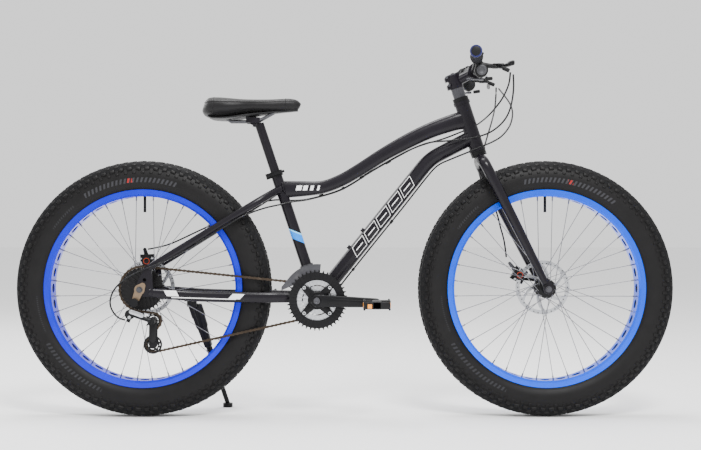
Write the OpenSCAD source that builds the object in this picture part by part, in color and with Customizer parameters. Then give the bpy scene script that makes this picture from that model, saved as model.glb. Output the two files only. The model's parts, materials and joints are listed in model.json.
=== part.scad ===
// Fat-tyred mountain bike with a rigid fork, standing on its wheels and kickstand.
// +X is forward, +Y is the rider's left, +Z is up. The origin is on the ground,
// midway between the axles.

/* [Wheels] */
// Distance between the two axles
wheelbase = 1172; // [1080:1:1410]
// Outside radius of the tyres
tyre_r = 373; // [345:1:450]
// Width of the tyres
tyre_w = 96; // [80:1:104]
// Width of the flat part of the tread
tread_w = 60; // [40:1:66]
// Wall of the tyre casing
tyre_wall = 4; // [2:0.5:6]
// Outside radius of the rims
rim_r = 288; // [240:1:300]
// Width of the rims
rim_w = 80; // [66:1:90]
// Depth of the rims
rim_h = 20; // [17:1:24]
// Wall of the rims
rim_wall = 2.5; // [2:0.5:3]
// Spokes in each wheel
spoke_count = 36; // [24:4:44]
// Diameter of a spoke
spoke_d = 2; // [1.8:0.1:2.4]
// Diameter of the brake rotors
rotor_d = 160; // [140:1:180]
// Thickness of the brake rotors
rotor_t = 2; // [1.6:0.1:2.4]
// Over-locknut width of the front hub
front_old = 135; // [130:1:150]
// Over-locknut width of the rear hub
rear_old = 190; // [186:1:200]
// Diameter of the wheel axles
axle_d = 12; // [9:0.5:15]

/* [Frame] */
// Distance from the rear axle forward to the bottom bracket
rear_centre = 506; // [470:1:600]
// Height of the axles above the bottom bracket
bb_drop = 32; // [10:1:60]
// Slope of the seat tube
seat_angle = 71.6; // [69:0.1:75]
// Slope of the steering axis
head_angle = 71.7; // [68:0.1:74]
// Length of the seat tube above the bottom bracket
seat_tube_len = 394; // [340:1:480]
// Outside diameter of the seat tube
seat_tube_d = 31.8; // [30:0.1:36]
// Diameter of the seatpost
post_d = 27.2; // [25:0.1:30]
// Length of the head tube
head_tube_len = 152; // [110:1:185]
// Outside diameter of the head tube
head_tube_d = 44; // [40:0.5:52]
// Outside diameter of the down tube
down_tube_d = 43; // [36:0.5:52]
// Slope of the down tube's long straight
down_tube_angle = 51.3; // [49:0.1:54]
// Slope of the down tube where it meets the head tube
down_tube_end_angle = 27.5; // [20:0.5:34]
// Width of the bottom bracket shell
bb_w = 100; // [95:1:100]
// Distance between the two bottle bosses
boss_gap = 64; // [60:1:74]

/* [Fork and bars] */
// Offset of the front axle from the steering axis
rake = 60.8; // [40:0.1:70]
// Gap between the tyre and the crown, along the steering axis
crown_gap = 58; // [50:1:80]
// Distance from the bike's middle to each fork leg
fork_leg_y = 72; // [70:1:78]
// Diameter of the steerer
steerer_d = 28.6; // [25.4:0.1:31.8]
// Diameter of the handlebar at the stem
bar_d = 31.8; // [25.4:0.1:35]
// Diameter of the handlebar inside the grips
grip_bore_d = 22.2; // [20:0.1:24]
// Half of the handlebar's length
bar_half = 340; // [300:1:410]

/* [Saddle] */
// Length of the seatpost
post_len = 350; // [300:1:400]
// Distance from the bottom bracket to the top of the post
post_top = 541; // [500:1:580]
// Length of the saddle
saddle_len = 281; // [250:1:300]
// Width of the saddle
saddle_w = 160; // [130:1:190]

/* [Drivetrain] */
// Teeth on the small, middle and large chainrings
ring_teeth = [22, 32, 42];
// Teeth on the cassette's sprockets, largest first
cog_teeth = [32, 28, 24, 21, 18, 15, 13, 11];
// Teeth on each derailleur pulley
pulley_teeth = 11; // [9:1:13]
// Distance between the two derailleur pulleys
cage_len = 68; // [60:1:80]
// Length of the crank arms
crank_len = 170; // [160:1:180]
// Slope of the crank below the level
crank_dip = 2; // [-5:1:5]
// Length of a chain link
chain_pitch = 12.7; // [12.7]

/* [Hidden] */
$fn = 48;
run_gap = 0.05;
clear = 0.5;
bb_shell_r = 24;
cup_plug_r = head_tube_d / 2 - 3;
rail_r = 3.5;
tyre_side = tyre_w / 2;
Y = [0, 1, 0];

// --- points that everything else hangs on
rear_axle = [-wheelbase / 2, 0, tyre_r];
front_axle = [wheelbase / 2, 0, tyre_r];
bb = rear_axle + [rear_centre, 0, -bb_drop];
seat_dir = [-cos(seat_angle), 0, sin(seat_angle)];
steer_dir = [-cos(head_angle), 0, sin(head_angle)];
steer_foot = front_axle - rake * [sin(head_angle), 0, cos(head_angle)];
function on_seat(t) = bb + t * seat_dir;
function on_steer(t) = steer_foot + t * steer_dir;
function unit(v) = v / norm(v);
function lerp(a, b, t) = a + (b - a) * t;
function flip(p) = [p[0], -p[1], p[2]];

cup_h = 12;
crown_t = tyre_r + crown_gap;
head_low = crown_t + cup_h + clear;
head_top = head_low + head_tube_len;
spacer_low = head_top + cup_h + clear;
stem_low = spacer_low + 28;
stem_h = 40;
stem_mid = on_steer(stem_low + stem_h / 2);
bar_mid = stem_mid + [60, 0, 31];

// --- down tube: two straights and one bend
dt_low_dir = [cos(down_tube_angle), 0, sin(down_tube_angle)];
dt_end_dir = [cos(down_tube_end_angle), 0, sin(down_tube_end_angle)];
dt_head = on_steer(head_low + 44);
dt_turn = down_tube_angle - down_tube_end_angle;
dt_span = dt_head - bb;
dt_low_len = (dt_span[0] * dt_end_dir[2] - dt_span[2] * dt_end_dir[0])
    / (dt_low_dir[0] * dt_end_dir[2] - dt_low_dir[2] * dt_end_dir[0]);
dt_vertex = bb + dt_low_len * dt_low_dir;
// The bend is no longer than the straight that runs on to the head tube
dt_tangent = min(150 * tan(dt_turn / 2), 0.8 * norm(dt_head - dt_vertex), 0.8 * dt_low_len);
dt_bend_r = dt_tangent / tan(dt_turn / 2);
dt_up = [-sin(down_tube_angle), 0, cos(down_tube_angle)];
boss_low_t = 176;

// --- top tube stations: share of the span, rise, half height, half width
tt_seat = on_seat(336);
tt_head = on_steer(head_low + 98);
tt_stations = [[0, 0, 25, 13], [0.1, -17, 23, 16], [0.22, -37, 19, 17], [0.32, -38, 18.5, 18],
    [0.42, -28, 19, 18], [0.55, -10, 20, 18], [0.68, 2, 22, 18], [0.8, 8, 23, 18],
    [0.92, 6, 25, 18], [1, 0, 27, 17]];

// --- hubs
front_rotor_y = 50;
rear_rotor_y = 62;
front_flange_y = 34;
rear_flange_y = 42;
flange_t = 3;
flange_r = 28;
spoke_hole_r = 24;
freehub_r = 17;
rotor_bolt_r = 22;

// --- drivetrain
chain_y = -55;
cog_step = 4.8;
ring_step = 7.5;
roller_r = 3.65;
chain_half_h = 3.9;
pulley_guide = [rear_axle[0] + 33, rear_axle[2] - 92];
crank_arm_y = 95;
crank_arm_t = 14;
pedal_y = 180;
spindle_r = 12;

// --- lever and stand hinges
lever_pivot = [428, 196, 1001] + [bar_mid[0] - 381, 0, bar_mid[2] - 1008];
bar_shift = [bar_mid[0] - 381, 0, bar_mid[2] - 1008];
clamp_t = seat_tube_len - 8;
clamp_back = 24;
stand_pivot = rear_axle + [130, 92, -44];
stand_axis = unit([0.194, 0.922, 0.335]);
stand_foot = [stand_pivot[0] + 96, 190, 0];

// --- bar: centre, two rises and two swept ends
bar_points = [for (p = [[-29, -bar_half, 17], [-5, -110, 16], [0, -45, 0], [0, 45, 0], [-5, 110, 16],
    [-29, bar_half, 17]]) bar_mid + p];
bar_end_dir = unit(bar_points[5] - bar_points[4]);
function on_bar(y) = bar_points[4] + bar_end_dir * (y - 110) / bar_end_dir[1];

// --- cable routes
rear_brake_route = [[462, -195, 984], [458, -188, 950], [444, -150, 914], [422, -80, 882], [404, 0, 864],
    [382, 36, 850], [340, 42, 832], [290, 26, 812], [230, 18, 794], [173, 12, 770], [79, 12, 717],
    [20, 12, 679], [-30, 12, 655], [-108, 14, 634], [-160, 24, 630], [-205, 36, 632], [-255, 66, 622],
    [-330, 86, 590], [-433, 92, 543], [-520, 98, 503], [-566, 86, 490], [-588, 76, 486]];
rear_shift_route = [[470, -196, 978], [472, -184, 935], [468, -150, 890], [456, -110, 858],
    [430, -74, 832], [400, -46, 818], [360, -34, 809], [302, -30, 803], [251, -22, 799], [215, -14, 788],
    [173, -12, 768], [79, -12, 715], [20, -12, 677], [-30, -12, 653], [-108, -14, 632], [-150, -24, 626],
    [-185, -30, 618], [-235, -48, 606], [-290, -72, 585], [-345, -84, 553], [-433, -84, 499],
    [-510, -98, 458], [-545, -108, 442], [-585, -109, 426], [-621, -108, 406], [-648, -108, 385],
    [-664, -108, 361], [-669, -108, 333], [-660, -108, 309], [-644, -108, 293], [-626, -108, 287]];
front_shift_route = [[472, 196, 977], [487, 160, 950], [498, 110, 920], [498, 56, 888], [484, 4, 850],
    [458, -24, 818], [430, -38, 800], [400, -40, 787], [360, -38, 770], [310, -28, 750], [272, -10, 732],
    [240, 0, 698], [170, 0, 609], [103, 0, 526], [50, 0, 460], [-1, 0, 396], [-26, 0, 360],
    [-44, 0, 324], [-70, 0, 309], [-96, 0, 311], [-112, -8, 330]];
front_brake_route = [[464, 195, 980], [462, 186, 950], [456, 160, 914], [444, 120, 875], [428, 80, 832],
    [416, 62, 796], [404, 62, 762], [398, 68, 728], [406, 72, 693], [431, 74, 644], [452, 74, 596],
    [464, 72, 550], [474, 66, 510], [480, 62, 462]];
cable_r = 2.5;

// ---------- general shapes ----------

// A cylinder from p to q
module rod(p, q, r) {
    v = q - p;
    translate(p)
        rotate([0, acos(v[2] / norm(v)), atan2(v[1], v[0])])
            cylinder(h = norm(v), r = r);
}

// A round rod that bends at each inner point
module wire(points, r) {
    for (i = [0 : len(points) - 2])
        rod(points[i], points[i + 1], r);
    for (i = [1 : 1 : len(points) - 2])
        translate(points[i]) sphere(r);
}

// A ring or tube from p to q
module sleeve(p, q, outer, bore) {
    more = unit(q - p);
    difference() {
        rod(p, q, outer);
        rod(p - more, q + more, bore);
    }
}

// A plate in the XZ plane, centred on y
module slab(y, thick) {
    translate([0, y + thick / 2, 0])
        rotate([90, 0, 0])
            linear_extrude(thick)
                children();
}

// A turned part about the Y axis; the profile's points are [radius, y]
module turned(profile) {
    rotate([-90, 0, 0])
        rotate_extrude()
            polygon(profile);
}

// Both sides of the bike
module both_sides() {
    children();
    mirror([0, 1, 0]) children();
}

// A smooth run through hand-set points
function blend_point(a, b, c, d, t) = 0.5 * (2 * b + (c - a) * t + (2 * a - 5 * b + 4 * c - d) * t * t
    + (3 * b - a - 3 * c + d) * t * t * t);
function smooth(p, n) = [for (i = [0 : len(p) - 2], k = [0 : n - 1])
    blend_point(p[max(i - 1, 0)], p[i], p[i + 1], p[min(i + 2, len(p) - 1)], k / n), p[len(p) - 1]];

// A tube swept along stations of [x, y, z, half across, half along up]
module sweep(path, sides, up) {
    n = len(path);
    at = [for (q = path) [q[0], q[1], q[2]]];
    rings = [for (i = [0 : n - 1])
        let (t = unit(at[min(i + 1, n - 1)] - at[max(i - 1, 0)]), s = unit(cross(t, up)), u = cross(s, t))
            [for (k = [0 : sides - 1])
                at[i] + s * path[i][3] * cos(360 * k / sides) + u * path[i][4] * sin(360 * k / sides)]];
    walls = [for (i = [0 : n - 2], k = [0 : sides - 1])
        let (a = i * sides + k, b = i * sides + (k + 1) % sides)
            each [[a, b, b + sides], [a, b + sides, a + sides]]];
    polyhedron(points = [for (r = rings) each r], faces = concat(
        [[for (k = [sides - 1 : -1 : 0]) k]], walls, [[for (k = [0 : sides - 1]) (n - 1) * sides + k]]));
}

// A round cable through hand-set points
module cable(route, n) {
    sweep([for (q = smooth(route, n)) [q[0], q[1], q[2], cable_r, cable_r]], 8, [0.1, 0.3, 0.95]);
}

// ---------- chain geometry, in the XZ plane ----------

function pitch_r(teeth) = chain_pitch / 2 / sin(180 / teeth);
// A gear is [centre, teeth, turn]; the guide pulley turns the other way
function loop_gears(lean) = [
    [[rear_axle[0], rear_axle[2]], cog_teeth[0], 1],
    [[bb[0], bb[2]], ring_teeth[0], 1],
    [pulley_guide + cage_len * [-sin(lean), -cos(lean)], pulley_teeth, 1],
    [pulley_guide, pulley_teeth, -1]];
function signed_r(g) = g[2] * pitch_r(g[1]);
function run_angle(a, b) = atan2(b[0][1] - a[0][1], b[0][0] - a[0][0])
    - asin((signed_r(a) - signed_r(b)) / norm(b[0] - a[0]));
function run_links(a, b) = sqrt(pow(norm(b[0] - a[0]), 2) - pow(signed_r(a) - signed_r(b), 2)) / chain_pitch;
function angle_in(g, i) = run_angle(g[(i + 3) % 4], g[i]);
function angle_out(g, i) = run_angle(g[i], g[(i + 1) % 4]);
function turned_by(g, i) = let (t = g[i][2] * (angle_in(g, i) - angle_out(g, i))) t - 360 * floor(t / 360);
function spans(g) = [for (i = [0 : 3])
    each [turned_by(g, i) * g[i][1] / 360, run_links(g[i], g[(i + 1) % 4])]];
function total(v, i = 0) = i == len(v) ? 0 : v[i] + total(v, i + 1);
// The cage leans until the chain holds a whole, even number of links
function find_lean(low, high, links, tries) = let (mid = (low + high) / 2)
    tries == 0 ? mid
    : total(spans(loop_gears(mid))) < links ? find_lean(mid, high, links, tries - 1)
    : find_lean(low, mid, links, tries - 1);
chain_links = 2 * round(total(spans(loop_gears(3))) / 2);
cage_lean = find_lean(-40, 60, chain_links, 40);
gears = loop_gears(cage_lean);
gear_spans = spans(gears);
pulley_tension = gears[2][0];
function start_of(i) = i == 0 ? 0 : start_of(i - 1) + gear_spans[2 * i - 2] + gear_spans[2 * i - 1];
function on_gear(i, links, off) = let (g = gears[i], a = angle_in(gears, i) + 90 - g[2] * links * 360 / g[1])
    g[0] + (signed_r(g) + off) * [cos(a), sin(a)];
function on_run(i, links) = let (a = angle_out(gears, i))
    on_gear(i, gear_spans[2 * i], 0) + links * chain_pitch * [cos(a), sin(a)];
function roller_at(k, s = 0) = k > gear_spans[s] ? roller_at(k - gear_spans[s], s + 1)
    : s % 2 == 0 ? on_gear(s / 2, k, 0) : on_run((s - 1) / 2, k);
// Where a gear's teeth stand so that they sit between the rollers
function tooth_phase(i) = let (g = gears[i], first = ceil(start_of(i)) - start_of(i))
    angle_in(gears, i) + 90 - g[2] * first * 360 / g[1] + (g[2] < 0 ? 180 : 0) + 180 / g[1];
function loop_outline(off) = [for (i = [0 : 3], k = [0 : 20]) on_gear(i, gear_spans[2 * i] * k / 20, off)];

// A toothed disc's outline; teeth stand between rollers
module sprocket_shape(teeth, phase) {
    root = pitch_r(teeth) - 4.2;
    tip = pitch_r(teeth) + 2.8;
    polygon([for (k = [0 : teeth - 1], c = [[root, -3], [tip, -0.9], [tip, 0.9], [root, 3]])
        let (a = phase + 360 * k / teeth) c[0] * [cos(a), sin(a)] + c[1] * [-sin(a), cos(a)]]);
}

// ---------- frame ----------

module head_tube_outside() {
    rod(on_steer(head_low), on_steer(head_top), head_tube_d / 2);
}

module seat_tube_outside() {
    rod(bb, on_seat(seat_tube_len), seat_tube_d / 2);
}

module bb_outside() {
    rod(bb - bb_w / 2 * Y, bb + bb_w / 2 * Y, bb_shell_r);
}

module head_tube() {
    collar = 9;
    color("#17161b") difference() {
        union() {
            head_tube_outside();
            rod(on_steer(head_low), on_steer(head_low + collar), head_tube_d / 2 + 2.5);
            rod(on_steer(head_top - collar), on_steer(head_top), head_tube_d / 2 + 2.5);
        }
        rod(on_steer(head_low - 1), on_steer(head_top + 1), cup_plug_r);
    }
}

module top_tube() {
    span = tt_head - tt_seat;
    color("#17161b") difference() {
        sweep([for (q = smooth(tt_stations, 3)) let (p = tt_seat + q[0] * span)
            [p[0], 0, p[2] + q[1], q[2], q[3]]], 16, Y);
        head_tube_outside();
        rod(on_seat(200), on_seat(seat_tube_len + 40), seat_tube_d / 2);
    }
}

// The down tube's line, swept at radius r
module down_tube_path(r) {
    steps = 8;
    centre = dt_vertex - dt_tangent * dt_low_dir - dt_bend_r * dt_up;
    arc = [for (k = [0 : steps]) let (a = down_tube_angle + 90 - dt_turn * k / steps)
        centre + dt_bend_r * [cos(a), 0, sin(a)]];
    sweep([for (p = concat([bb], arc, [dt_head])) [p[0], p[1], p[2], r, r]], 36, Y);
}

module down_tube() {
    boss_h = 6;
    color("#17161b") difference() {
        union() {
            down_tube_path(down_tube_d / 2);
            for (t = [boss_low_t, boss_low_t + boss_gap])
                rod(bb + t * dt_low_dir, bb + t * dt_low_dir + (down_tube_d / 2 + boss_h) * dt_up, 6);
        }
        for (t = [boss_low_t, boss_low_t + boss_gap])
            rod(bb + t * dt_low_dir + 8 * dt_up,
                bb + t * dt_low_dir + (down_tube_d / 2 + boss_h + 2) * dt_up, 2.5);
        bb_outside();
        head_tube_outside();
        seat_tube_outside();
    }
}

module seat_tube() {
    slot_w = 3;
    color("#17161b") difference() {
        seat_tube_outside();
        rod(on_seat(40), on_seat(seat_tube_len + 1), post_d / 2 + run_gap);
        bb_outside();
        translate(on_seat(seat_tube_len - 34))
            rotate([0, seat_angle - 90, 0])
                translate([-seat_tube_d, -slot_w / 2, 0]) cube([seat_tube_d, slot_w, 60]);
    }
}

module bottom_bracket() {
    cup_lip = 3;
    color("#232327") difference() {
        union() {
            bb_outside();
            both_sides() rod(bb + bb_w / 2 * Y, bb + (bb_w / 2 + cup_lip) * Y, bb_shell_r - 1);
        }
        rod(bb - bb_w * Y, bb + bb_w * Y, spindle_r + run_gap);
        rod(bb - (bb_w / 2 - 12) * Y, bb + (bb_w / 2 - 12) * Y, bb_shell_r - 4);
    }
}

// Stay stations: share of the rear centre forward of the axle, y, rise, half height, half width
function stay_path(rows, low, high) = [for (q = smooth(rows, 4))
    let (p = lerp(low, high, q[0])) [p[0], q[1], p[2] + q[2], q[3], q[4]]];
dropout_y = rear_old / 2;
dropout_t = 6;

// Share of a stay's length at which it leaves the tyre, then shares of what lies before and beyond
function leaves_tyre(low, high) = let (v = high - low, w = low - rear_axle, a = v * v, b = v * w)
    (sqrt(b * b - a * (w * w - tyre_r * tyre_r)) - b) / a;
function beyond(reach, k) = reach + k * (1 - reach);
chain_stay_reach = leaves_tyre(rear_axle, bb);

module chain_stay() {
    difference() {
        sweep(stay_path([[0.05, dropout_y + 2, -6, 12, 6], [0.11, dropout_y - 5, -8, 14, 7],
            [0.21, dropout_y - 17, -9, 15, 8], [0.502 * chain_stay_reach, tyre_side + 22, -9, 15.5, 8.5],
            [0.936 * chain_stay_reach, tyre_side + 16, -2, 15.5, 8.5],
            [beyond(chain_stay_reach, 0.316), tyre_side + 3, 2, 15.5, 9],
            [beyond(chain_stay_reach, 0.81), tyre_side - 11, 5, 15.5, 9], [1, tyre_side - 14, 6, 15, 9]],
            rear_axle, bb), 12, Y);
        bb_outside();
        rod(bb - bb_w * Y, bb + bb_w * Y, bb_shell_r - 1);
        translate([0, dropout_y + dropout_t / 2, 0]) slab_block();
    }
}

// The plane of a dropout, to cut the stays where they meet it
module slab_block() {
    translate(rear_axle + [-60, -dropout_t / 2, -80]) cube([130, dropout_t + 12, 180]);
}

module chain_stays() {
    color("#17161b") both_sides() chain_stay();
}

stay_top = on_seat(341);
stay_foot = rear_axle + [25, 0, 62];
seat_stay_reach = leaves_tyre(stay_foot, stay_top);

module seat_stay() {
    difference() {
        sweep(stay_path([[0, dropout_y + 2, 0, 9, 6], [0.1, dropout_y - 2, 0, 10, 8],
            [0.553 * seat_stay_reach, tyre_side + 29, 0, 10.5, 9],
            [beyond(seat_stay_reach, 0.06), tyre_side + 18, 0, 10.5, 9.5],
            [beyond(seat_stay_reach, 0.53), tyre_side + 3, 0, 10.5, 10],
            [beyond(seat_stay_reach, 0.89), 20, 0, 10.5, 10], [1, 12, 0, 10.5, 10]],
            stay_foot, stay_top), 12, Y);
        seat_tube_outside();
        translate([0, dropout_y + dropout_t / 2, 0]) slab_block();
    }
}

module seat_stays() {
    bridge_at = lerp(stay_foot, stay_top, beyond(seat_stay_reach, 0.404));
    color("#17161b") {
        both_sides() seat_stay();
        rod(bridge_at - 50 * Y, bridge_at + 50 * Y, 7);
    }
}

module dropout_shape() {
    hull() {
        translate([0, -2]) circle(17, $fn = 32);
        translate([24, -7]) circle(14, $fn = 32);
    }
    hull() {
        translate([2, 4]) circle(15, $fn = 32);
        translate([24, 60]) circle(11, $fn = 32);
    }
    hull() {
        translate([26, -7]) circle(13, $fn = 32);
        translate([26, 58]) circle(8, $fn = 32);
    }
}

module dropouts() {
    color("#17161b") both_sides() difference() {
        translate([rear_axle[0], 0, rear_axle[2]]) slab(dropout_y + dropout_t / 2, dropout_t) dropout_shape();
        rod(rear_axle, rear_axle + rear_old * Y, axle_d / 2);
        rod(rear_axle + [14, 0, 28], rear_axle + [14, rear_old, 28], 5);
    }
}

hanger_t = 5;
hanger_y = -dropout_y - dropout_t - hanger_t / 2;

module derailleur_hanger() {
    color("#a5713c") difference() {
        translate([rear_axle[0], 0, rear_axle[2]]) slab(hanger_y, hanger_t) {
            hull() {
                circle(15, $fn = 32);
                translate([9, 12]) circle(8, $fn = 32);
            }
            hull() {
                circle(13, $fn = 32);
                translate([-14, -36]) circle(9, $fn = 32);
            }
        }
        rod(rear_axle - rear_old * Y, rear_axle, axle_d / 2);
    }
}

module headset_cups() {
    color("#2b2b30") difference() {
        union() {
            rod(on_steer(head_top - 10), on_steer(head_top), cup_plug_r);
            rod(on_steer(head_top), on_steer(head_top + cup_h), head_tube_d / 2 + 1);
            rod(on_steer(head_low), on_steer(head_low + 10), cup_plug_r);
            rod(on_steer(head_low - cup_h), on_steer(head_low), head_tube_d / 2 + 1);
        }
        rod(on_steer(head_low - 30), on_steer(head_top + 30), steerer_d / 2 + run_gap);
    }
}

// Local frame of the seat clamp: +Z up the tube, -X behind it
module at_clamp() {
    translate(on_seat(clamp_t)) rotate([0, seat_angle - 90, 0]) children();
}

module seat_clamp() {
    clamp_h = 16;
    color("#1c1c20") difference() {
        at_clamp() {
            cylinder(h = clamp_h, r = seat_tube_d / 2 + 4, center = true);
            translate([-clamp_back - 6, -11, -clamp_h / 2]) cube([clamp_back + 6, 22, clamp_h]);
            rotate([90, 0, 0]) translate([-clamp_back, 0, -22]) cylinder(h = 38, r = 3);
            rotate([90, 0, 0]) translate([-clamp_back, 0, -22]) cylinder(h = 10, r = 7);
        }
        rod(on_seat(clamp_t - 60), on_seat(clamp_t + 60), seat_tube_d / 2);
        at_clamp() translate([-60, -1.5, -30]) cube([60, 3, 27]);
        at_clamp() translate([-60, -1.5, 4]) cube([60, 3, 27]);
    }
}

// Lever of the quick release: cam behind the tube, blade along its right side
module seat_clamp_lever() {
    cam = [-clamp_back, -22];
    cam_r = 5;
    lever_h = 7;
    inner = -seat_tube_d / 2 - 6.1;
    outer = inner - 7;
    color("#222226") at_clamp() translate([0, 0, -lever_h / 2]) linear_extrude(lever_h) {
        translate(cam) circle(cam_r);
        polygon([cam - [0, 4], [-10, outer], [14, outer], [27, outer + 4], [26, inner + 3.5], [14, inner],
            [-10, inner], cam + [0, 3]]);
    }
}

// ---------- brakes ----------

// A calliper over the rotor: body on each side, joined beyond the rotor's rim
module calliper(axle, rotor_y, angle, reach) {
    mid = axle + reach * [cos(angle), 0, sin(angle)];
    color("#1b1b1f") difference() {
        translate([mid[0], 0, mid[2]]) rotate([0, -angle, 0]) union() {
            slab(rotor_y + 10, 15) square([40, 42], center = true);
            slab(rotor_y - 8, 9) circle(15);
            translate([9, rotor_y - 12, -14]) cube([11, 20, 28]);
        }
        rod(axle + (rotor_y - rotor_t / 2 - 1) * Y, axle + (rotor_y + rotor_t / 2 + 1) * Y, rotor_d / 2 + 3);
    }
}

rear_calliper_angle = 92;
front_calliper_angle = 152;
calliper_reach = rotor_d / 2 - 2;

module rear_calliper() {
    calliper(rear_axle, rear_rotor_y, rear_calliper_angle, calliper_reach);
    tab_low = rear_rotor_y + 10;
    color("#1b1b1f") translate([rear_axle[0], 0, rear_axle[2]])
        slab((tab_low + dropout_y) / 2, dropout_y - tab_low) hull() {
            translate([13, calliper_reach - 12]) circle(7, $fn = 32);
            translate([22, calliper_reach - 20]) circle(7, $fn = 32);
        }
}

module calliper_arm(axle, rotor_y, angle, reach, y_low, y_high, lift) {
    mid = axle + reach * [cos(angle), 0, sin(angle)];
    color("#2a2a2e") translate([mid[0], 0, mid[2]]) slab((y_low + y_high) / 2, y_high - y_low) {
        circle(9);
        hull() {
            circle(7, $fn = 32);
            translate(lift) circle(5, $fn = 32);
        }
    }
}

arm_in = 18;
arm_t = 5;

module rear_calliper_arm() {
    calliper_arm(rear_axle, rear_rotor_y, rear_calliper_angle, calliper_reach,
        rear_rotor_y + arm_in, rear_rotor_y + arm_in + arm_t, [-10, 34]);
}

module front_calliper() {
    mid = front_axle + calliper_reach * [cos(front_calliper_angle), 0, sin(front_calliper_angle)];
    calliper(front_axle, front_rotor_y, front_calliper_angle, calliper_reach);
    color("#1b1b1f") slab(front_rotor_y + 13, 6) hull() {
        translate([mid[0] + 12, mid[2] - 8]) circle(8, $fn = 32);
        translate([leg_foot[0] - 6, leg_foot[2] + 8]) circle(8, $fn = 32);
    }
}

module front_calliper_arm() {
    calliper_arm(front_axle, front_rotor_y, front_calliper_angle, calliper_reach,
        front_rotor_y + arm_in, front_rotor_y + arm_in + arm_t, [-26, 34]);
}

// ---------- wheels ----------

bed_r = rim_r - rim_h;
bead_x = rim_w / 2 - rim_wall - 0.1;
section_r = (tyre_r + rim_r) / 2 - 3;
function tyre_half(w, top, foot, x0) = concat(
    [[x0, foot], [x0, rim_r + 1]],
    [for (a = [-60 : 15 : -15]) [x0 + (w - x0) * cos(a), section_r + (section_r - rim_r - 1) * sin(a)]],
    [for (a = [0 : 15 : 90]) [tread_w / 2 + (w - tread_w / 2) * cos(a),
        section_r + (top - section_r) * sin(a)]]);
function mirrored(p) = [for (i = [len(p) - 1 : -1 : 0]) [-p[i][0], p[i][1]]];
function as_profile(p) = [for (q = p) [q[1], q[0]]];

module tyre(axle) {
    outer = tyre_half(tyre_w / 2, tyre_r, rim_r - 13, bead_x);
    inner = tyre_half(tyre_w / 2 - tyre_wall, tyre_r - tyre_wall, rim_r - 13, bead_x - tyre_wall);
    color("#1a1a1b") translate(axle)
        turned(as_profile(concat(outer, mirrored(outer),
            [for (i = [0 : len(inner) - 1]) [-inner[i][0], inner[i][1]]],
            [for (i = [len(inner) - 1 : -1 : 0]) inner[i]])));
}

valve_r = 4;

module inner_tube(axle) {
    gap = 1;
    foot = bed_r + rim_wall + 4;
    outer = tyre_half(tyre_w / 2 - tyre_wall - gap, tyre_r - tyre_wall - gap, foot, bead_x - tyre_wall - gap);
    hollow = tyre_half(tyre_w / 2 - tyre_wall - gap - 2, tyre_r - tyre_wall - gap - 2, foot + 2,
        bead_x - tyre_wall - gap - 2);
    color("#2c2c2e") translate(axle) {
        difference() {
            turned(as_profile(concat(outer, mirrored(outer))));
            turned(as_profile(concat(hollow, mirrored(hollow))));
        }
        turned([[bed_r + rim_wall, -25], [bed_r + rim_wall + 4, -25], [bed_r + rim_wall + 4, 25],
            [bed_r + rim_wall, 25]]);
        translate([0, 0, bed_r - 34]) cylinder(h = 46, r = valve_r);
    }
}

module rim(axle, finish) {
    half = rim_w / 2;
    step = 360 / spoke_count;
    cut_w = 30;
    cut_len = 2 * PI * bed_r / spoke_count * 0.56;
    color(finish) translate(axle) difference() {
        turned([[bed_r, -half + 5], [bed_r + 6, -half], [rim_r, -half], [rim_r, -half + rim_wall],
            [bed_r + 8, -half + rim_wall], [bed_r + rim_wall, -half + 7], [bed_r + rim_wall, half - 7],
            [bed_r + 8, half - rim_wall], [rim_r, half - rim_wall], [rim_r, half], [bed_r + 6, half],
            [bed_r, half - 5]]);
        for (i = [1 : spoke_count - 1]) rotate([0, i * step, 0]) translate([0, 0, bed_r - 4])
            linear_extrude(10) {
                square([cut_len, cut_w - cut_len], center = true);
                for (s = [-1, 1]) translate([0, s * (cut_w - cut_len) / 2]) circle(cut_len / 2);
            }
        cylinder(h = rim_r, r = valve_r);
    }
}

// Half the spokes hang on each flange; every other one leads, the rest trail, crossing three
module spokes(axle, flange_y) {
    step = 360 / spoke_count;
    cross = 60;
    nipple_r = 2;
    color("#b9bcc2") translate(axle) for (s = [0, 1], k = [0 : spoke_count / 2 - 1]) {
        side = s == 0 ? -1 : 1;
        odd = k % 2 == 0 ? 1 : -1;
        a = 90 + step / 2 + 2 * step * k + step * s;
        b = a + cross * odd;
        y0 = side * flange_y + odd * (flange_t / 2 + spoke_d / 2);
        y1 = side * 9;
        from = [spoke_hole_r * cos(a), y0, spoke_hole_r * sin(a)];
        to = [bed_r * cos(b), y1, bed_r * sin(b)];
        rod(from, to, spoke_d / 2);
        rod(lerp(from, to, 0.955), to - unit(to - from) * 0.2, nipple_r);
    }
}

module rotor(axle, y) {
    ring_w = 13;
    arms = 6;
    outer = rotor_d / 2;
    color("#a8abb0") translate([axle[0], 0, axle[2]]) difference() {
        slab(y, rotor_t) difference() {
            union() {
                difference() {
                    circle(outer);
                    circle(outer - ring_w);
                }
                circle(rotor_bolt_r + 6);
                for (i = [0 : arms - 1]) rotate(i * 360 / arms) translate([0, -5]) square([outer - 5, 10]);
            }
            circle(rotor_bolt_r - 5);
            for (i = [0 : arms - 1]) rotate(i * 360 / arms) translate([rotor_bolt_r, 0]) circle(2.6);
        }
    }
}

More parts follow.
